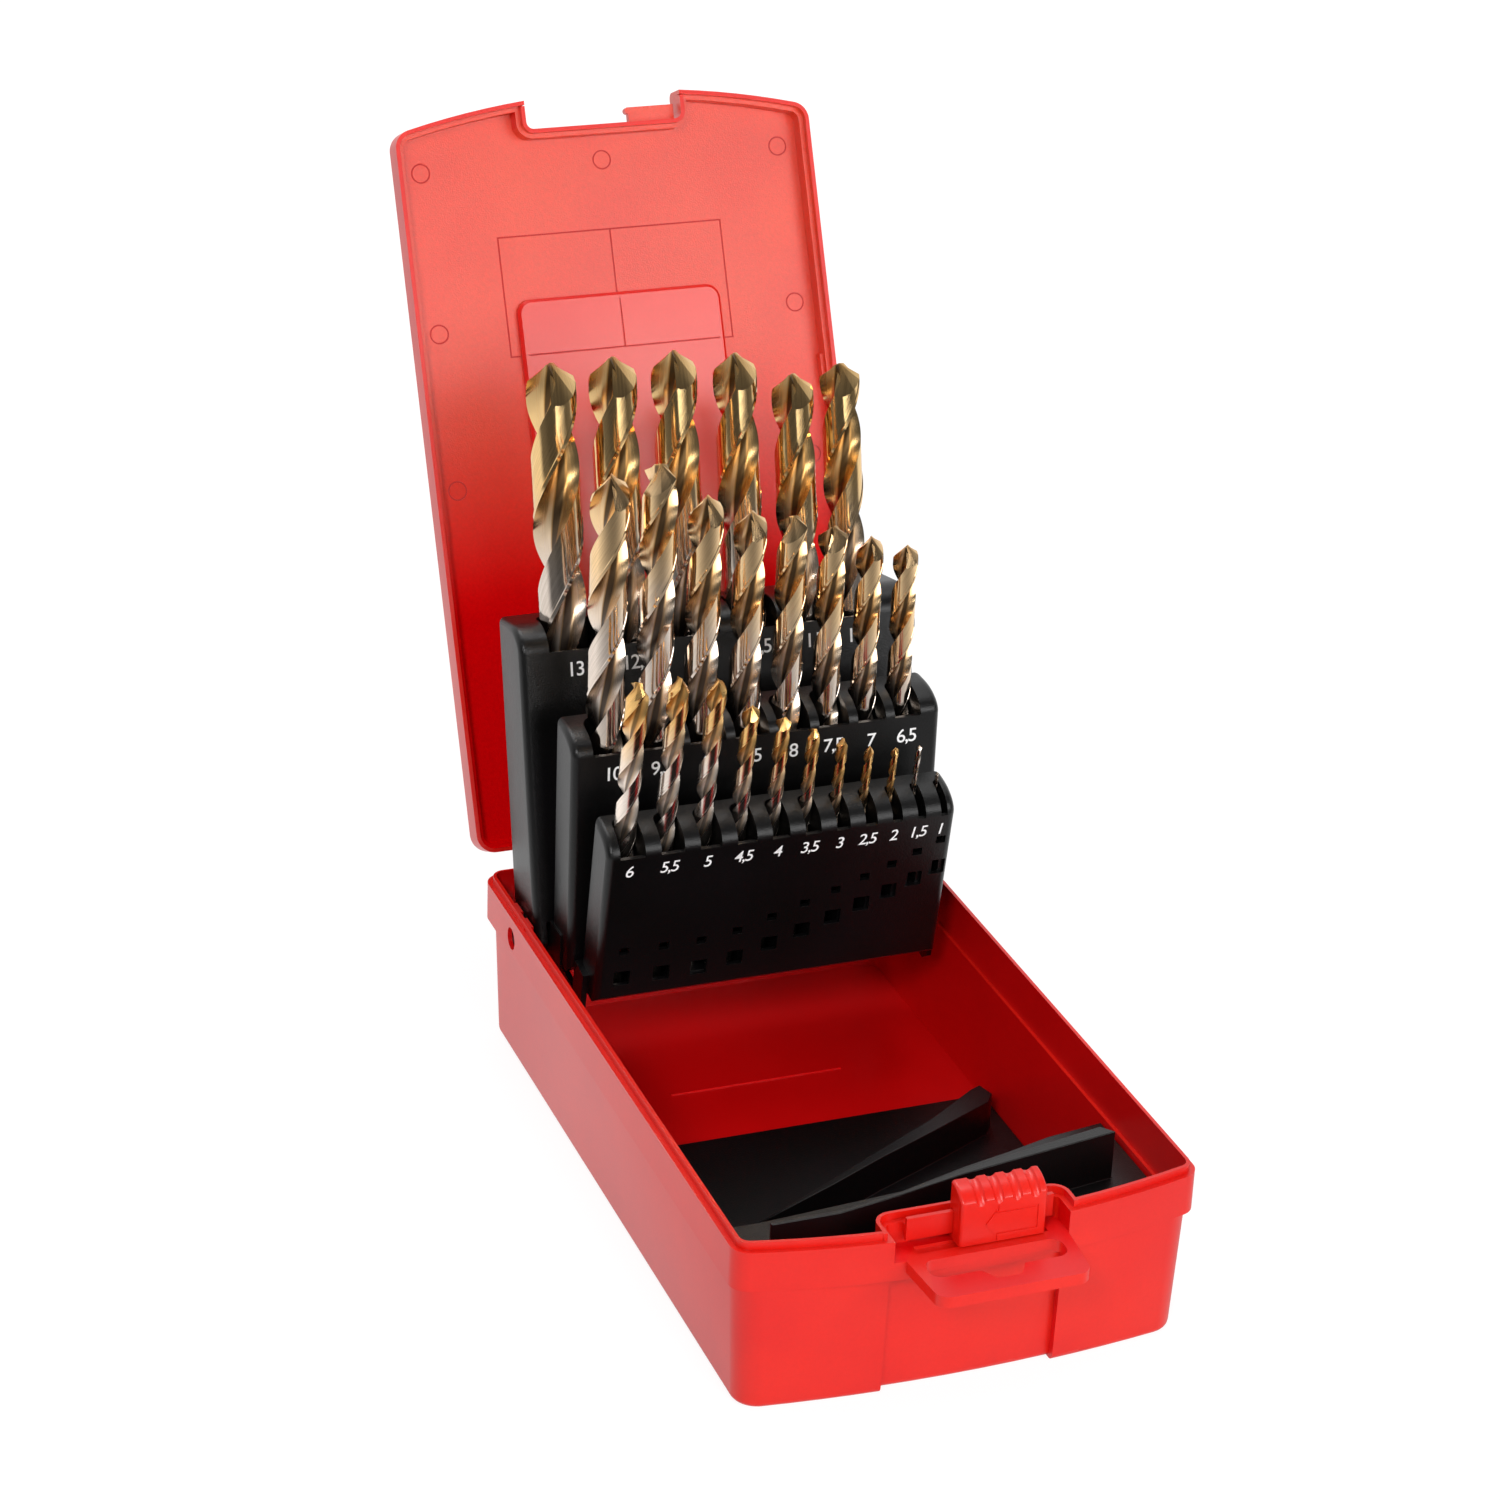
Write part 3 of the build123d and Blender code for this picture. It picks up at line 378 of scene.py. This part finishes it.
drillShape = {
    "pitchPerDiameter": 5.35,
    "landSteps": (0, 3, 13, 24, 35, 46, 57, 68, 77, 79, 88),    # degrees round one land
    "landCorners": (0, 77, 79, 88),    # where its edges are sharp
    "marginFrom": 78,         # from here in degrees the margin keeps the full radius
    "clearedLand": 0.965,     # and the land before it is ground back to this share of it
    "fluteSteps": 14,
    "fluteCentre": 1.10,      # radii from the axis to the centre of the flute's arc
    # painted shade: the flutes' dark hollows stand for the dark surroundings they reflect
    "shadeFrom": 0.12,        # shares of the flute's width: where its hollow starts to darken,
    "shadeRise": 0.40,        # over what width it does,
    "shadeFall": 0.25,        # and over what width it lightens again
    "edgeShade": 0.25,        # what is left of the dark at that edge
    "flankSlope": 1.64,       # drop of the point's ground flanks for each millimetre outwards
    "flankTurn": 20,          # degrees round the section to where they fall away
    "pointDepth": 3.2,        # radii from the tip down to where the grinding ends
    "pointRings": 14,
    "pointCrease": 8,         # degrees from which the edges at the tip are sharp
    "ringsPerTurn": 50,
    "fewestRings": 8,
    "heelChamfer": 0.06,      # height of the chamfer at the heel, in radii
    "heelShare": 0.9,         # and what it leaves of the radius
    "shankRing": 0.5,         # one more ring this far up the shank
    "cornersFrom": 0.1,       # share of the full depth from which a flute's edges are sharp
    # millimetres of flute for each diameter
    "fluteLengths": {
        13.0: 101, 12.5: 101, 12.0: 101, 11.5: 94, 11.0: 94, 10.5: 87, 10.0: 87, 9.5: 81, 9.0: 81,
        8.5: 75, 8.0: 75, 7.5: 69, 7.0: 69, 6.5: 63, 6.0: 57, 5.5: 57, 5.0: 52, 4.5: 47, 4.0: 43,
        3.5: 39, 3.0: 33, 2.5: 30, 2.0: 24, 1.5: 18, 1.0: 12,
    },
    # degrees that each bit happens to stand turned in its pocket
    "turned": {
        13.0: 121, 12.5: 121, 12.0: 126, 11.5: 121, 11.0: 116, 10.5: 100,
        10.0: 136, 9.5: 60, 9.0: 134, 8.5: 126, 8.0: 70, 7.5: 100, 7.0: 136, 6.5: 121,
    },
    "turnPerMillimetre": 67,  # and the thinner ones, for each millimetre of diameter
}
# least and greatest diameter in each holder, in millimetres
holderRows = {"large": (10.5, 13.0), "medium": (6.5, 10.0), "small": (1.0, 6.0)}
drillLayers = ("tipDistance", "fluteDepth", "fluteReflectionShade")    # what each corner of the mesh carries


def drillSize(node):
    return float(node.removeprefix("drill_").replace("_", "."))


def drillAxis(node):
    return Vector(joints[node.replace("drill_", "lift_")]["axis"]).normalized()


def holderOf(node):
    return next(row for row, (least, most) in holderRows.items() if least <= drillSize(node) <= most)


def drillSection():
    # one half of the section: (angle in degrees, share of the radius, painted shade of the flute, for
    # the dark it reflects)
    look = drillShape
    land = look["landSteps"][-1]
    halfFlute = math.radians((180 - land) / 2)
    centre = look["fluteCentre"]
    reach = math.sqrt(centre**2 + 1 - 2 * centre * math.cos(halfFlute))
    points = []
    for angle in look["landSteps"]:
        share = 1.0 if angle > look["marginFrom"] else look["clearedLand"]
        points.append((angle, share, 0.0))
    for step in range(1, look["fluteSteps"]):
        turn = -math.cos(math.pi * step / look["fluteSteps"]) * halfFlute
        share = centre * math.cos(turn) - math.sqrt(max(reach**2 - (centre * math.sin(turn))**2, 0))
        across = turn / halfFlute / 2 + 0.5
        shade = easedShare((across - look["shadeFrom"]) / look["shadeRise"])
        shade *= min((1.0 - across) / look["shadeFall"] + look["edgeShade"], 1)
        points.append((land + math.degrees(turn + halfFlute), share, shade))
    return points


drillSurface = {
    "streakStretch": (2600, 60, 1),    # grinding streaks, per metre round and along the bit
    "streak": {"Detail": 3.0, "Roughness": 0.6},
    "streakTones": ((0.35, (0.45, 0.42, 0.4)), (0.6, (1, 1, 1))),
    "streakShare": 0.25,
    "streakBump": (0.08, 0.02),        # strength, and height in millimetres
    "cloud": 0.25,                     # features per millimetre
    "cloudBump": (0.08, 0.1),
    "waver": 6,                        # millimetres that the end of the gold wanders
    # painted shade: the flutes darken across their width, standing for the dark surroundings they
    # reflect
    "reflectionShadeTones": ((0.05, (1, 1, 1)), (0.36, (0.50, 0.37, 0.22)), (0.72, (0.04, 0.024, 0.012))),
    "hollowSatin": 0.42,               # roughness added for each radius of a flute's depth
}
steelTone = (0.72, 0.62, 0.54)
goldTone = (0.88, 0.59, 0.27)
# millimetres: goldEnd from the tip to where the gold has half faded, and fade the length it fades over
# the last number of each is how strongly the painted shade darkens the flutes
drillLooks = {
    "large": {
        "name": "gold tipped steel, large", "gold": goldTone, "steel": steelTone,
        "goldEnd": 46, "fade": 30, "gloss": (0.08, 0.15), "reflectionShadeShare": 0.92,
    },
    "medium": {
        "name": "gold tipped steel, medium", "gold": (0.95, 0.66, 0.36), "steel": (0.80, 0.69, 0.60),
        "goldEnd": 36, "fade": 26, "gloss": (0.08, 0.15), "reflectionShadeShare": 0.92,
    },
    # painted light: the small bits' lighter gold and steel make up for the lamps reaching them less
    "small": {
        "name": "gold tipped steel, small", "gold": (0.99, 0.60, 0.22), "steel": (0.98, 0.86, 0.76),
        "goldEnd": 22, "fade": 20, "gloss": (0.19, 0.27), "reflectionShadeShare": 0.75,
    },
    "plain": {
        "name": "bright steel", "gold": goldTone, "steel": steelTone,
        "goldEnd": -20, "fade": 4, "gloss": (0.08, 0.15), "reflectionShadeShare": 0.92,
        "upTo": 1.5,    # the thinnest bits, up to this diameter, have no gold
    },
}


def drillMaterial(look):
    surface = drillSurface
    material, tree, shader = newMaterial(look["name"])
    shader.inputs["Metallic"].default_value = 1.0
    fromTip = addNode(tree, "ShaderNodeAttribute", attribute_name="tipDistance").outputs["Fac"]
    depth = addNode(tree, "ShaderNodeAttribute", attribute_name="fluteDepth").outputs["Fac"]
    darkReflected = addNode(tree, "ShaderNodeAttribute", attribute_name="fluteReflectionShade").outputs["Fac"]
    helix = addNode(tree, "ShaderNodeUVMap", uv_map="helix")
    stretch = addNode(tree, "ShaderNodeMapping")
    stretch.inputs["Scale"].default_value = surface["streakStretch"]
    noise = addNode(tree, "ShaderNodeTexNoise", Scale=1.0, **surface["streak"])
    tree.links.new(helix.outputs["UV"], stretch.inputs["Vector"])
    tree.links.new(stretch.outputs["Vector"], noise.inputs["Vector"])
    streak = noise.outputs["Fac"]
    cloud = objectNoise(tree, surface["cloud"]).outputs["Fac"]

    wavering = calculate(tree, "MULTIPLY_ADD", cloud, surface["waver"] * mm, fromTip)
    fadeFrom, fadeTo = look["goldEnd"] - look["fade"] / 2, look["goldEnd"] + look["fade"] / 2
    worn = mapRange(tree, wavering, (fadeFrom * mm, fadeTo * mm, 0, 1), smooth=True)
    tint = mix(tree, "RGBA", worn, (*look["gold"], 1), (*look["steel"], 1))
    # painted shade in the flutes, for the dark they reflect
    dark = colourRamp(tree, darkReflected, surface["reflectionShadeTones"])
    shaded = mix(tree, "RGBA", look["reflectionShadeShare"], tint, dark, blend="MULTIPLY")
    streakTone = colourRamp(tree, streak, surface["streakTones"])
    streaked = mix(tree, "RGBA", surface["streakShare"], shaded, streakTone, blend="MULTIPLY")
    tree.links.new(streaked, shader.inputs["Base Color"])

    polish = mapRange(tree, streak, (*noiseSpan, *look["gloss"]))
    satin = calculate(tree, "MULTIPLY_ADD", depth, surface["hollowSatin"], polish)
    tree.links.new(satin, shader.inputs["Roughness"])
    addBump(tree, shader, ((streak, *surface["streakBump"]), (cloud, *surface["cloudBump"])))
    return material


drillFinishes = {use: drillMaterial(look) for use, look in drillLooks.items()}


def drillMeasures(node):
    # in metres, with heights up from the heel of the shank
    size = drillSize(node)
    axis = drillAxis(node)
    places = [vertex.co for vertex in frame["nodes"][node].data.vertices]
    tip = max(places, key=lambda place: place.dot(axis)).copy()
    length = tip.dot(axis) - min(place.dot(axis) for place in places)
    radius = size / 2 * mm
    return {
        "size": size,
        "axis": axis,
        "tip": tip,
        "length": length,
        "radius": radius,
        "pitch": size * mm * drillShape["pitchPerDiameter"],
        "flute": drillShape["fluteLengths"][size] * mm,
        "fluteStart": length - drillShape["fluteLengths"][size] * mm,
        "runOut": size * mm,
        "pointStart": length - drillShape["pointDepth"] * radius,
    }


def ringHeights(bit):
    length, fluteStart, pointStart = bit["length"], bit["fluteStart"], bit["pointStart"]
    rings = max(drillShape["fewestRings"], int(bit["flute"] / bit["pitch"] * drillShape["ringsPerTurn"]))
    pointRings = drillShape["pointRings"]
    heights = [0, drillShape["heelChamfer"] * bit["radius"], fluteStart * drillShape["shankRing"]]
    heights += [fluteStart + (pointStart - fluteStart) * step / rings for step in range(rings)]
    heights += [pointStart + (length - pointStart) * step / pointRings for step in range(pointRings + 1)]
    return heights


def inRingOrder(vertices):
    return sorted(vertices, key=lambda vertex: math.atan2(vertex.co.y, vertex.co.x) % (2 * math.pi))


def liftRings(shape, radius, heights, count):
    # a plain round bar: returns (vertices in order, height) for each ring, and the last ring's edges
    ring = inRingOrder(bmesh.ops.create_circle(shape, segments=count, radius=radius)["verts"])
    bands = [(ring, heights[0])]
    edges = shape.edges[:]
    for height in heights[1:]:
        made = bmesh.ops.extrude_edge_only(shape, edges=edges)["geom"]
        edges = [item for item in made if isinstance(item, bmesh.types.BMEdge)]
        ring = [item for item in made if isinstance(item, bmesh.types.BMVert)]
        bmesh.ops.translate(shape, verts=ring, vec=(0, 0, height - bands[-1][1]))
        bands.append((inRingOrder(ring), height))
    return bands, edges


def groundHeight(bit, height, out, angle):
    # only the last stretch is ground: there the flanks slope down from the cutting edges
    length, pointStart = bit["length"], bit["pointStart"]
    if height < pointStart:
        return height
    slope = math.cos(math.radians(angle - drillShape["flankTurn"]))
    top = length - drillShape["flankSlope"] * out * abs(slope)
    return pointStart + (height - pointStart) * (top - pointStart) / (length - pointStart)


def cutFlutes(shape, bit, section, bands):
    # moves each ring to its section, and returns (ring, place in it, on a sharp corner) for each vertex
    radius, fluteStart = bit["radius"], bit["fluteStart"]
    half = len(section)
    tipLayer, depthLayer, shadeLayer = (shape.verts.layers.float[name] for name in drillLayers)
    helix = shape.loops.layers.uv["helix"]
    corner = {}
    for ringNumber, (vertices, height) in enumerate(bands):
        fluted = easedShare((height - fluteStart) / bit["runOut"])
        for index, vertex in enumerate(vertices):
            angle, share, shade = section[index % half]
            share = 1 - (1 - share) * fluted
            out = radius * share * (drillShape["heelShare"] if height == 0 else 1)
            rise = groundHeight(bit, height, out, angle)
            # the round shank below the flutes isn't twisted
            turn = (math.radians(angle) + (math.pi if index >= half else 0)
                    + 2 * math.pi * max(rise, fluteStart) / bit["pitch"])
            vertex.co = (out * math.cos(turn), out * math.sin(turn), rise)
            sharp = angle in drillShape["landCorners"] and fluted > drillShape["cornersFrom"]
            corner[vertex] = (ringNumber, index, sharp)
            vertex[tipLayer] = bit["length"] - rise
            vertex[depthLayer] = 1 - share
            # the flute's painted shade, faded in with the flute
            vertex[shadeLayer] = shade * fluted
            for loop in vertex.link_loops:
                loop[helix].uv = (radius * math.radians(angle + (180 if index >= half else 0)), rise)
    return corner


def markSharp(shape, corner, centre, topRing):
    # sharp are the flutes' corners, the heel's two rings and the rim of the point
    for face in shape.faces:
        face.smooth = True
    for edge in shape.edges:
        if centre in edge.verts:
            edge.smooth = edge.calc_face_angle(0) < math.radians(drillShape["pointCrease"])
            continue
        first, second = (corner[vertex] for vertex in edge.verts)
        alongCorner = first[1] == second[1] and first[2] and second[2]
        roundRing = first[0] == second[0] and first[0] in (0, 1, topRing)
        edge.smooth = not (alongCorner or roundRing)


def twistDrill(node, finish):
    bit = drillMeasures(node)
    section = drillSection()
    shape = bmesh.new()
    for name in drillLayers:
        shape.verts.layers.float.new(name)
    shape.loops.layers.uv.new("helix")
    bands, topEdges = liftRings(shape, bit["radius"], ringHeights(bit), 2 * len(section))
    corner = cutFlutes(shape, bit, section, bands)
    point = bmesh.ops.contextual_create(shape, geom=topEdges)["faces"]
    centre = bmesh.ops.poke(shape, faces=point)["verts"][0]
    centre.co = (0, 0, bit["length"])
    centre[shape.verts.layers.float["tipDistance"]] = 0
    heelEdges = [edge for edge in shape.edges if edge.is_boundary]
    bmesh.ops.contextual_create(shape, geom=heelEdges)
    bmesh.ops.recalc_face_normals(shape, faces=shape.faces)
    markSharp(shape, corner, centre, len(bands) - 1)

    turned = drillShape["turned"].get(bit["size"], bit["size"] * drillShape["turnPerMillimetre"])
    spin = Matrix.Rotation(math.radians(turned) - 2 * math.pi * bit["length"] / bit["pitch"], 4, "Z")
    upright = Vector((0, 0, 1)).rotation_difference(bit["axis"]).to_matrix().to_4x4()
    place = Matrix.Translation(bit["tip"] - bit["axis"] * bit["length"]) @ upright @ spin
    bmesh.ops.transform(shape, matrix=place, verts=shape.verts)
    piece = addObject("twist_" + node, meshFrom(shape, "twist_" + node, drillFinishes[finish]))
    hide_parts(node)
    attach(piece, node)    # each bit is a body of its own


drillNodes = sorted(node for node in frame["nodes"] if node.startswith("drill_"))
for node in drillNodes:
    twistDrill(node, "plain" if drillSize(node) <= drillLooks["plain"]["upTo"] else holderOf(node))
print("drills made")


pinLook = {
    "scratch": {"scale": 1.5, "stretch": (0.1, 1, 1)},
    "tones": ((0.3, (0.32, 0.31, 0.30)), (0.7, (0.62, 0.61, 0.60))),
    "gloss": (0.22, 0.4),
}


def pinMaterial():
    material, tree, shader = newMaterial("drawn pin steel")
    shader.inputs["Metallic"].default_value = 1.0
    scratch = objectNoise(tree, **pinLook["scratch"]).outputs["Fac"]
    tree.links.new(colourRamp(tree, scratch, pinLook["tones"]), shader.inputs["Base Color"])
    tree.links.new(mapRange(tree, scratch, (*noiseSpan, *pinLook["gloss"])), shader.inputs["Roughness"])
    return material


pinSteel = pinMaterial()
pins = {"hinge_pin_left": pinSteel, "hinge_pin_right": pinSteel,
        "pivot_pin_left": plastic["black"], "pivot_pin_right": plastic["black"]}
for node, material in pins.items():
    frame["nodes"][node].data.materials.clear()
    frame["nodes"][node].data.materials.append(material)
print("pins finished")


inkLook = {
    "patch": 2.0,    # features per millimetre
    "tones": ((0.3, (0.84, 0.84, 0.84)), (0.6, (0.94, 0.94, 0.94))),
    "gloss": (0.5, 0.65),
    "lift": 0.02,    # millimetres
}
pivotAxis = Vector((0, 71.0, 38.0)) * mm    # the holders turn about this line
# millimetres: front and up from the pivot axis, height of a digit, and shift to the right;
# bold is a share of the height
marks = {
    "large": {"front": 8.1, "up": 71.75, "height": 3.9, "bold": 0.008, "slant": 0.0, "shift": 0.0},
    "medium": {"front": 22.3, "up": 55.8, "height": 3.9, "bold": 0.008, "slant": 0.0, "shift": 0.0},
    "small": {"front": 34.7, "up": 44.05, "height": 3.45, "bold": 0.006, "slant": 0.16, "shift": -0.7},
}
digits = {"sizePerHeight": 1.38, "spacing": 0.88}


def inkMaterial():
    material, tree, shader = newMaterial("white printed ink")
    patch = objectNoise(tree, inkLook["patch"]).outputs["Fac"]
    tree.links.new(colourRamp(tree, patch, inkLook["tones"]), shader.inputs["Base Color"])
    tree.links.new(mapRange(tree, patch, (*noiseSpan, *inkLook["gloss"])), shader.inputs["Roughness"])
    return material


def numberMesh(label, look):
    text = bpy.data.curves.new("number " + label, "FONT")
    text.body = label
    text.align_x = "CENTER"
    text.align_y = "CENTER"
    text.size = look["height"] * digits["sizePerHeight"] * mm
    text.shear = look["slant"]
    text.offset = look["bold"] * look["height"] * mm
    text.extrude = inkLook["lift"] * mm
    text.space_character = digits["spacing"]
    typed = addObject("number " + label, text)
    bpy.context.view_layer.update()
    mesh = bpy.data.meshes.new_from_object(typed)
    bpy.data.objects.remove(typed)
    return mesh


def sizeNumbers(row, nodes):
    look = marks[row]
    joined = bmesh.new()
    for node in nodes:
        label = f"{drillSize(node):g}".replace(".", ",")
        mesh = numberMesh(label, look)
        axis = drillAxis(node)
        low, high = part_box(node)
        forward = Vector((1, 0, 0)).cross(axis)
        turn = Matrix((Vector((1, 0, 0)), axis, forward)).transposed().to_4x4()
        place = pivotAxis + forward * look["front"] * mm + axis * look["up"] * mm
        place.x = (low.x + high.x) / 2 + look["shift"] * mm
        mesh.transform(Matrix.Translation(place) @ turn)
        joined.from_mesh(mesh)
    piece = addObject("numbers_" + row, meshFrom(joined, "numbers_" + row, ink))
    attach(piece, row + "_holder")


ink = inkMaterial()
thickestFirst = sorted(drillNodes, key=drillSize, reverse=True)
for row in marks:
    sizeNumbers(row, [node for node in thickestFirst if holderOf(node) == row])
print("numbers made")


floorLook = {
    "colour": (0.93, 0.93, 0.93, 1),
    "roughness": 0.9,
    "halfWidth": 6.0,
    "glow": 1.14,                             # brightness that the camera sees
    "whitens": (0.3, 1.4, 0.75, 1.0),         # metres from the case, and the share of glow there
    "mirrored": (-0.35, 0.05, 0.16, 1.05),    # metres to the back, and how bright reflections see it
}


def floorMaterial():
    material, tree, shader = newMaterial("studio floor")
    shader.inputs["Base Color"].default_value = floorLook["colour"]
    shader.inputs["Roughness"].default_value = floorLook["roughness"]
    rays = addNode(tree, "ShaderNodeLightPath")
    place = addNode(tree, "ShaderNodeTexCoord")
    away = addNode(tree, "ShaderNodeVectorMath", operation="LENGTH")
    split = addNode(tree, "ShaderNodeSeparateXYZ")
    tree.links.new(place.outputs["Object"], away.inputs["Vector"])
    tree.links.new(place.outputs["Object"], split.inputs["Vector"])
    # the camera sees it whiten with distance, and still sees the shadow near the case
    whiten = mapRange(tree, away.outputs["Value"], floorLook["whitens"])
    seen = calculate(tree, "MULTIPLY", rays.outputs["Is Camera Ray"], whiten)
    share = calculate(tree, "MAXIMUM", seen, rays.outputs["Is Glossy Ray"])
    # painted reflection: for reflections it glows darker towards the front, standing for a darker room
    mirrored = mapRange(tree, split.outputs["Y"], floorLook["mirrored"])
    strength = mix(tree, "FLOAT", rays.outputs["Is Glossy Ray"], floorLook["glow"], mirrored)
    glow = addNode(tree, "ShaderNodeEmission", Color=(1, 1, 1, 1))
    tree.links.new(strength, glow.inputs["Strength"])
    blend = addNode(tree, "ShaderNodeMixShader")
    tree.links.new(share, blend.inputs["Fac"])
    tree.links.new(shader.outputs["BSDF"], blend.inputs[1])
    tree.links.new(glow.outputs["Emission"], blend.inputs[2])
    tree.links.new(blend.outputs["Shader"], tree.nodes["Material Output"].inputs["Surface"])
    return material


def layFloor():
    shape = bmesh.new()
    bmesh.ops.create_grid(shape, x_segments=1, y_segments=1, size=floorLook["halfWidth"])
    panel = addObject("floor", meshFrom(shape, "floor", floorMaterial()))
    panel.location = (0, 0, cadLow.z)


roomLook = {
    "level": 0.28,                          # soft light on the case from all round
    "mirrored": (-0.3, 0.35, 0.08, 1.0),    # direction to the back, and how bright reflections see it
}


def paintRoom():
    world = bpy.data.worlds.new("studio")
    bpy.context.scene.world = world
    world.use_nodes = True
    tree = world.node_tree
    backdrop = tree.nodes["Background"]
    backdrop.inputs["Color"].default_value = (1, 1, 1, 1)
    rays = addNode(tree, "ShaderNodeLightPath")
    seen = calculate(tree, "MAXIMUM", rays.outputs["Is Camera Ray"], rays.outputs["Is Transmission Ray"])
    # reflections see the pale backdrop behind the case and the darker room before it
    heading = addNode(tree, "ShaderNodeTexCoord")
    split = addNode(tree, "ShaderNodeSeparateXYZ")
    tree.links.new(heading.outputs["Generated"], split.inputs["Vector"])
    mirrored = mapRange(tree, split.outputs["Y"], roomLook["mirrored"])
    unseen = mix(tree, "FLOAT", rays.outputs["Is Glossy Ray"], roomLook["level"], mirrored)
    level = calculate(tree, "MAXIMUM", unseen, seen)
    tree.links.new(level, backdrop.inputs["Strength"])


lampAim = Vector((0, 20, 90)) * mm    # a point in the open case
# distance and size in metres, power in watts
lamps = {
    "front": {"direction": (0.34, -0.87, 0.34), "distance": 1.7, "size": (1.5, 0.8), "power": 16.6},
    "key": {"direction": (-0.465, -0.674, 0.575), "distance": 1.6, "size": (0.30, 0.30), "power": 9},
    "top": {"direction": (0.22, 0.10, 0.97), "distance": 1.5, "size": (0.4, 0.4), "power": 2.5},
    "back": {"direction": (-0.10, 0.42, 0.90), "distance": 1.5, "size": (0.7, 0.7), "power": 7},
}


def hangLamp(name, look):
    direction = Vector(look["direction"])
    lamp = bpy.data.lights.new(name, "AREA")
    lamp.shape = "RECTANGLE"
    lamp.size, lamp.size_y = look["size"]
    lamp.energy = look["power"]
    hung = addObject(name, lamp)
    hung.location = lampAim + direction.normalized() * look["distance"]
    hung.rotation_euler = direction.to_track_quat("Z", "Y").to_euler()


viewpoint = {
    "place": (-344.3, -809.4, 542.8),    # millimetres, as the lens and sensor are
    "azimuth": -21.72,                   # degrees, as the next two are
    "elevation": 25.83,
    "roll": 2.37,
    "lens": 96.34,
    "sensor": 36,
    "nearest": 50,
}


def setCamera():
    lens = bpy.data.cameras.new("camera")
    lens.lens = viewpoint["lens"]
    lens.sensor_width = viewpoint["sensor"]
    lens.clip_start = viewpoint["nearest"] * mm
    camera = addObject("camera", lens)
    turn = Matrix.Rotation(math.radians(viewpoint["azimuth"]), 4, "Z")
    tilt = Matrix.Rotation(math.radians(90 - viewpoint["elevation"]), 4, "X")
    roll = Matrix.Rotation(math.radians(viewpoint["roll"]), 4, "Z")
    camera.matrix_world = Matrix.Translation(Vector(viewpoint["place"]) * mm) @ turn @ tilt @ roll
    bpy.context.scene.camera = camera


layFloor()
paintRoom()
for name, look in lamps.items():
    hangLamp(name, look)
setCamera()
bpy.context.scene.view_settings.view_transform = "Standard"
print("studio made")
